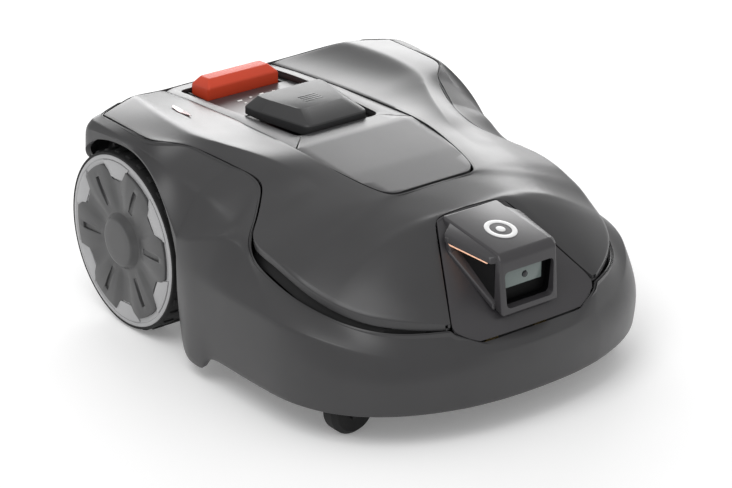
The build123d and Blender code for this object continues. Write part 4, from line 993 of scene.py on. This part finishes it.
def rim():
    """Bowl with a hub and ribs on its inner side."""
    inner, face = WHEEL_INNER, WHEEL_FACE
    bowl = lathe("bowl", [
        (8.05, inner + 4.0), (26.0, inner + 4.0), (26.0, inner + 14.0), (34.0, inner + 16.0),
        (86.0, inner + 24.0), (91.0, inner + 10.0), (92.5, inner), (96.4, inner), (96.4, face - 3.2),
        (60.0, face - 4.2), (8.05, face - 8.0), (8.05, inner + 4.0),
    ], 96, about_axle)
    ribs = []
    for k in range(SPOKES):
        turn = 60.0 * k
        outline = [(30.0, turn - 3.0), (30.0, turn + 3.0), (88.0, turn + 1.0), (88.0, turn - 1.0)]
        ribs.append(radial_plate("rib", outline, inner + 8.0, inner + 25.0, 1.0))
    return join("rim", [bowl] + ribs)


def trim_ring():
    """Silver disc: flat outer band with a sunk step and a raised pad between every two spokes."""
    face = WHEEL_FACE
    band = lathe("band", [
        (101.6, face - 3.4), (101.4, face - 1.6), (100.4, face - 0.9), (97.2, face - 0.9),
        (96.0, face - 1.9), (60.0, face - 2.1), (60.0, face - 3.0), (90.0, face - 4.0), (101.6, face - 3.4),
    ], 144, about_axle)
    pads = []
    for k in range(SPOKES):
        mid = 30.0 + 60.0 * k + CAP_TURN
        outline = [(95.6, mid - 16.0), (95.8, mid - 8.0), (95.8, mid), (95.8, mid + 8.0), (95.6, mid + 16.0),
                   (90.0, mid + 14.5), (77.0, mid + 9.0), (76.0, mid), (77.0, mid - 9.0), (90.0, mid - 14.5)]
        pads.append(radial_plate("pad", outline, face - 2.2, face - 0.3, 0.5))
    return join("trim_ring", [band] + pads)


def between_spokes(turn):
    """1 in the middle of the notch between two spokes, 0 along the spokes."""
    away = abs(((turn - CAP_TURN + 30.0) % 60.0) - 30.0)
    return min(max((away - 17.0) / 5.0, 0.0), 1.0)


def wheel_cap():
    """Dished star with a slot in each spoke, hollows between the spokes and a raised hub."""
    bm = bmesh.new()
    face = WHEEL_FACE

    def ring(radius, height, sink=0.0, share=0.0):
        """Ring that sinks between the spokes; share takes it from its radius out to the star's edge."""
        verts = []
        for i in range(72):
            turn = 360.0 * i / 72
            hollow = between_spokes(turn)
            edge = 91.0 - 17.0 * hollow
            spot = radial(radius + (edge - radius) * share, turn, face + height - sink * hollow)
            verts.append(bm.verts.new(spot))
        return verts

    rings = [[bm.verts.new(radial(0.0, 0.0, face + 5.0))]]
    for station in ((14.0, 5.0), (25.0, 5.0), (27.5, 4.6), (29.0, 3.4), (33.5, -2.2), (37.0, -2.6),
                    (46.0, -0.9, 2.4), (58.0, 0.3, 2.4), (68.0, 0.9, 2.4), (68.0, 1.0, 1.6, 0.9),
                    (68.0, 0.6, 1.2, 1.0), (68.0, -2.6, 0.0, 1.0), (59.0, -2.6), (57.0, -4.4)):
        rings.append(ring(*station))
    rings.append([bm.verts.new(radial(0.0, 0.0, face - 5.6))])
    skin_rings(bm, rings)
    cap = finish_mesh("wheel_cap", bm, 32.0)
    for k in range(SPOKES):
        mid = 60.0 * k + CAP_TURN
        outline = [(45.0, mid - 4.6), (45.0, mid + 4.6), (79.0, mid + 2.6), (79.0, mid - 2.6)]
        cut(cap, radial_plate("slot", outline, face - 1.9, face + 5.0), 32.0)
    return add_bevel(cap, 0.7, 2, 38.0)


def wheels():
    for make, slot in ((tyre, "tyre_rubber"), (rim, "silver_paint"), (trim_ring, "silver_paint"),
                       (wheel_cap, "cap_plastic")):
        left = make()
        node = left.name
        right = mirrored(left, node + "_look_right")
        left.name = node + "_look_left"
        place(left, "wheel_left", slot, node + "_left")
        place(right, "wheel_right", slot, node + "_right")


# ---- camera and stage
def aim(obj, spot, target):
    """Stand a camera or a light at a spot, looking at the target."""
    obj.location = spot
    obj.rotation_mode = "QUATERNION"
    obj.rotation_quaternion = (Vector(target) - Vector(spot)).to_track_quat("-Z", "Y")
    bpy.context.scene.collection.objects.link(obj)


def camera():
    data = bpy.data.cameras.new("camera")
    data.lens = CAMERA_LENS
    data.sensor_width = 36.0
    data.clip_end = 100.0
    azimuth, elevation = math.radians(CAMERA_AZIMUTH), math.radians(CAMERA_ELEVATION)
    away = Vector((math.sin(azimuth) * math.cos(elevation), -math.cos(azimuth) * math.cos(elevation),
                   math.sin(elevation)))
    target = Vector(CAMERA_TARGET) * MM
    obj = bpy.data.objects.new("camera", data)
    aim(obj, target + away * CAMERA_DISTANCE * MM, target)
    bpy.context.scene.camera = obj


def area_light(name, spot, target, size, power):
    data = bpy.data.lights.new(name, "AREA")
    data.shape = "RECTANGLE"
    data.size, data.size_y = size
    data.energy = power
    aim(bpy.data.objects.new(name, data), spot, target)


def white_floor():
    bm = bmesh.new()
    corners = rectangle(FLOOR_REACH, -FLOOR_REACH, FLOOR_REACH)
    bm.faces.new([bm.verts.new((x, y, FLOOR_Z)) for x, y in corners])
    floor = finish_mesh("floor", bm)
    tree, shader = new_material("floor_white")
    tone = noise(tree, 3.0, 2.0, 0.5, object_coords(tree))
    tree.links.new(ramp(tree, tone, (0.93, 0.93, 0.93), (0.95, 0.95, 0.95)), shader.inputs["Base Color"])
    shader.inputs["Roughness"].default_value = 0.9
    shader.inputs["Specular IOR Level"].default_value = 0.1
    shader.inputs["Emission Color"].default_value = (1.0, 1.0, 1.0, 1.0)
    shader.inputs["Emission Strength"].default_value = 0.16
    floor.data.materials.append(MATERIALS["floor_white"])


def studio():
    """White surroundings, a wide softbox behind the mower and a smaller one above its front."""
    world = bpy.data.worlds.new("studio")
    world.use_nodes = True
    background = world.node_tree.nodes["Background"]
    background.inputs["Color"].default_value = (1.0, 1.0, 1.0, 1.0)
    background.inputs["Strength"].default_value = 0.66
    bpy.context.scene.world = world
    area_light("back_softbox", (1.55, 2.25, 1.05), (0, 0, 0.15), (2.5, 1.3), 45.0)
    area_light("key_softbox", (-1.13, -0.50, 2.0), (0, 0, 0.1), (1.3, 1.3), 15.0)
    bpy.context.scene.view_settings.view_transform = "Standard"


paint_frame()
lower_shell()
top_cover()
control_panel()
well()
keys()
hatch_panel()
height_lid()
stop_button()
spring_pad()
camera_panel()
camera_housing()
camera_window()
badge()
lamp_wings()
wheels()
camera()
white_floor()
studio()
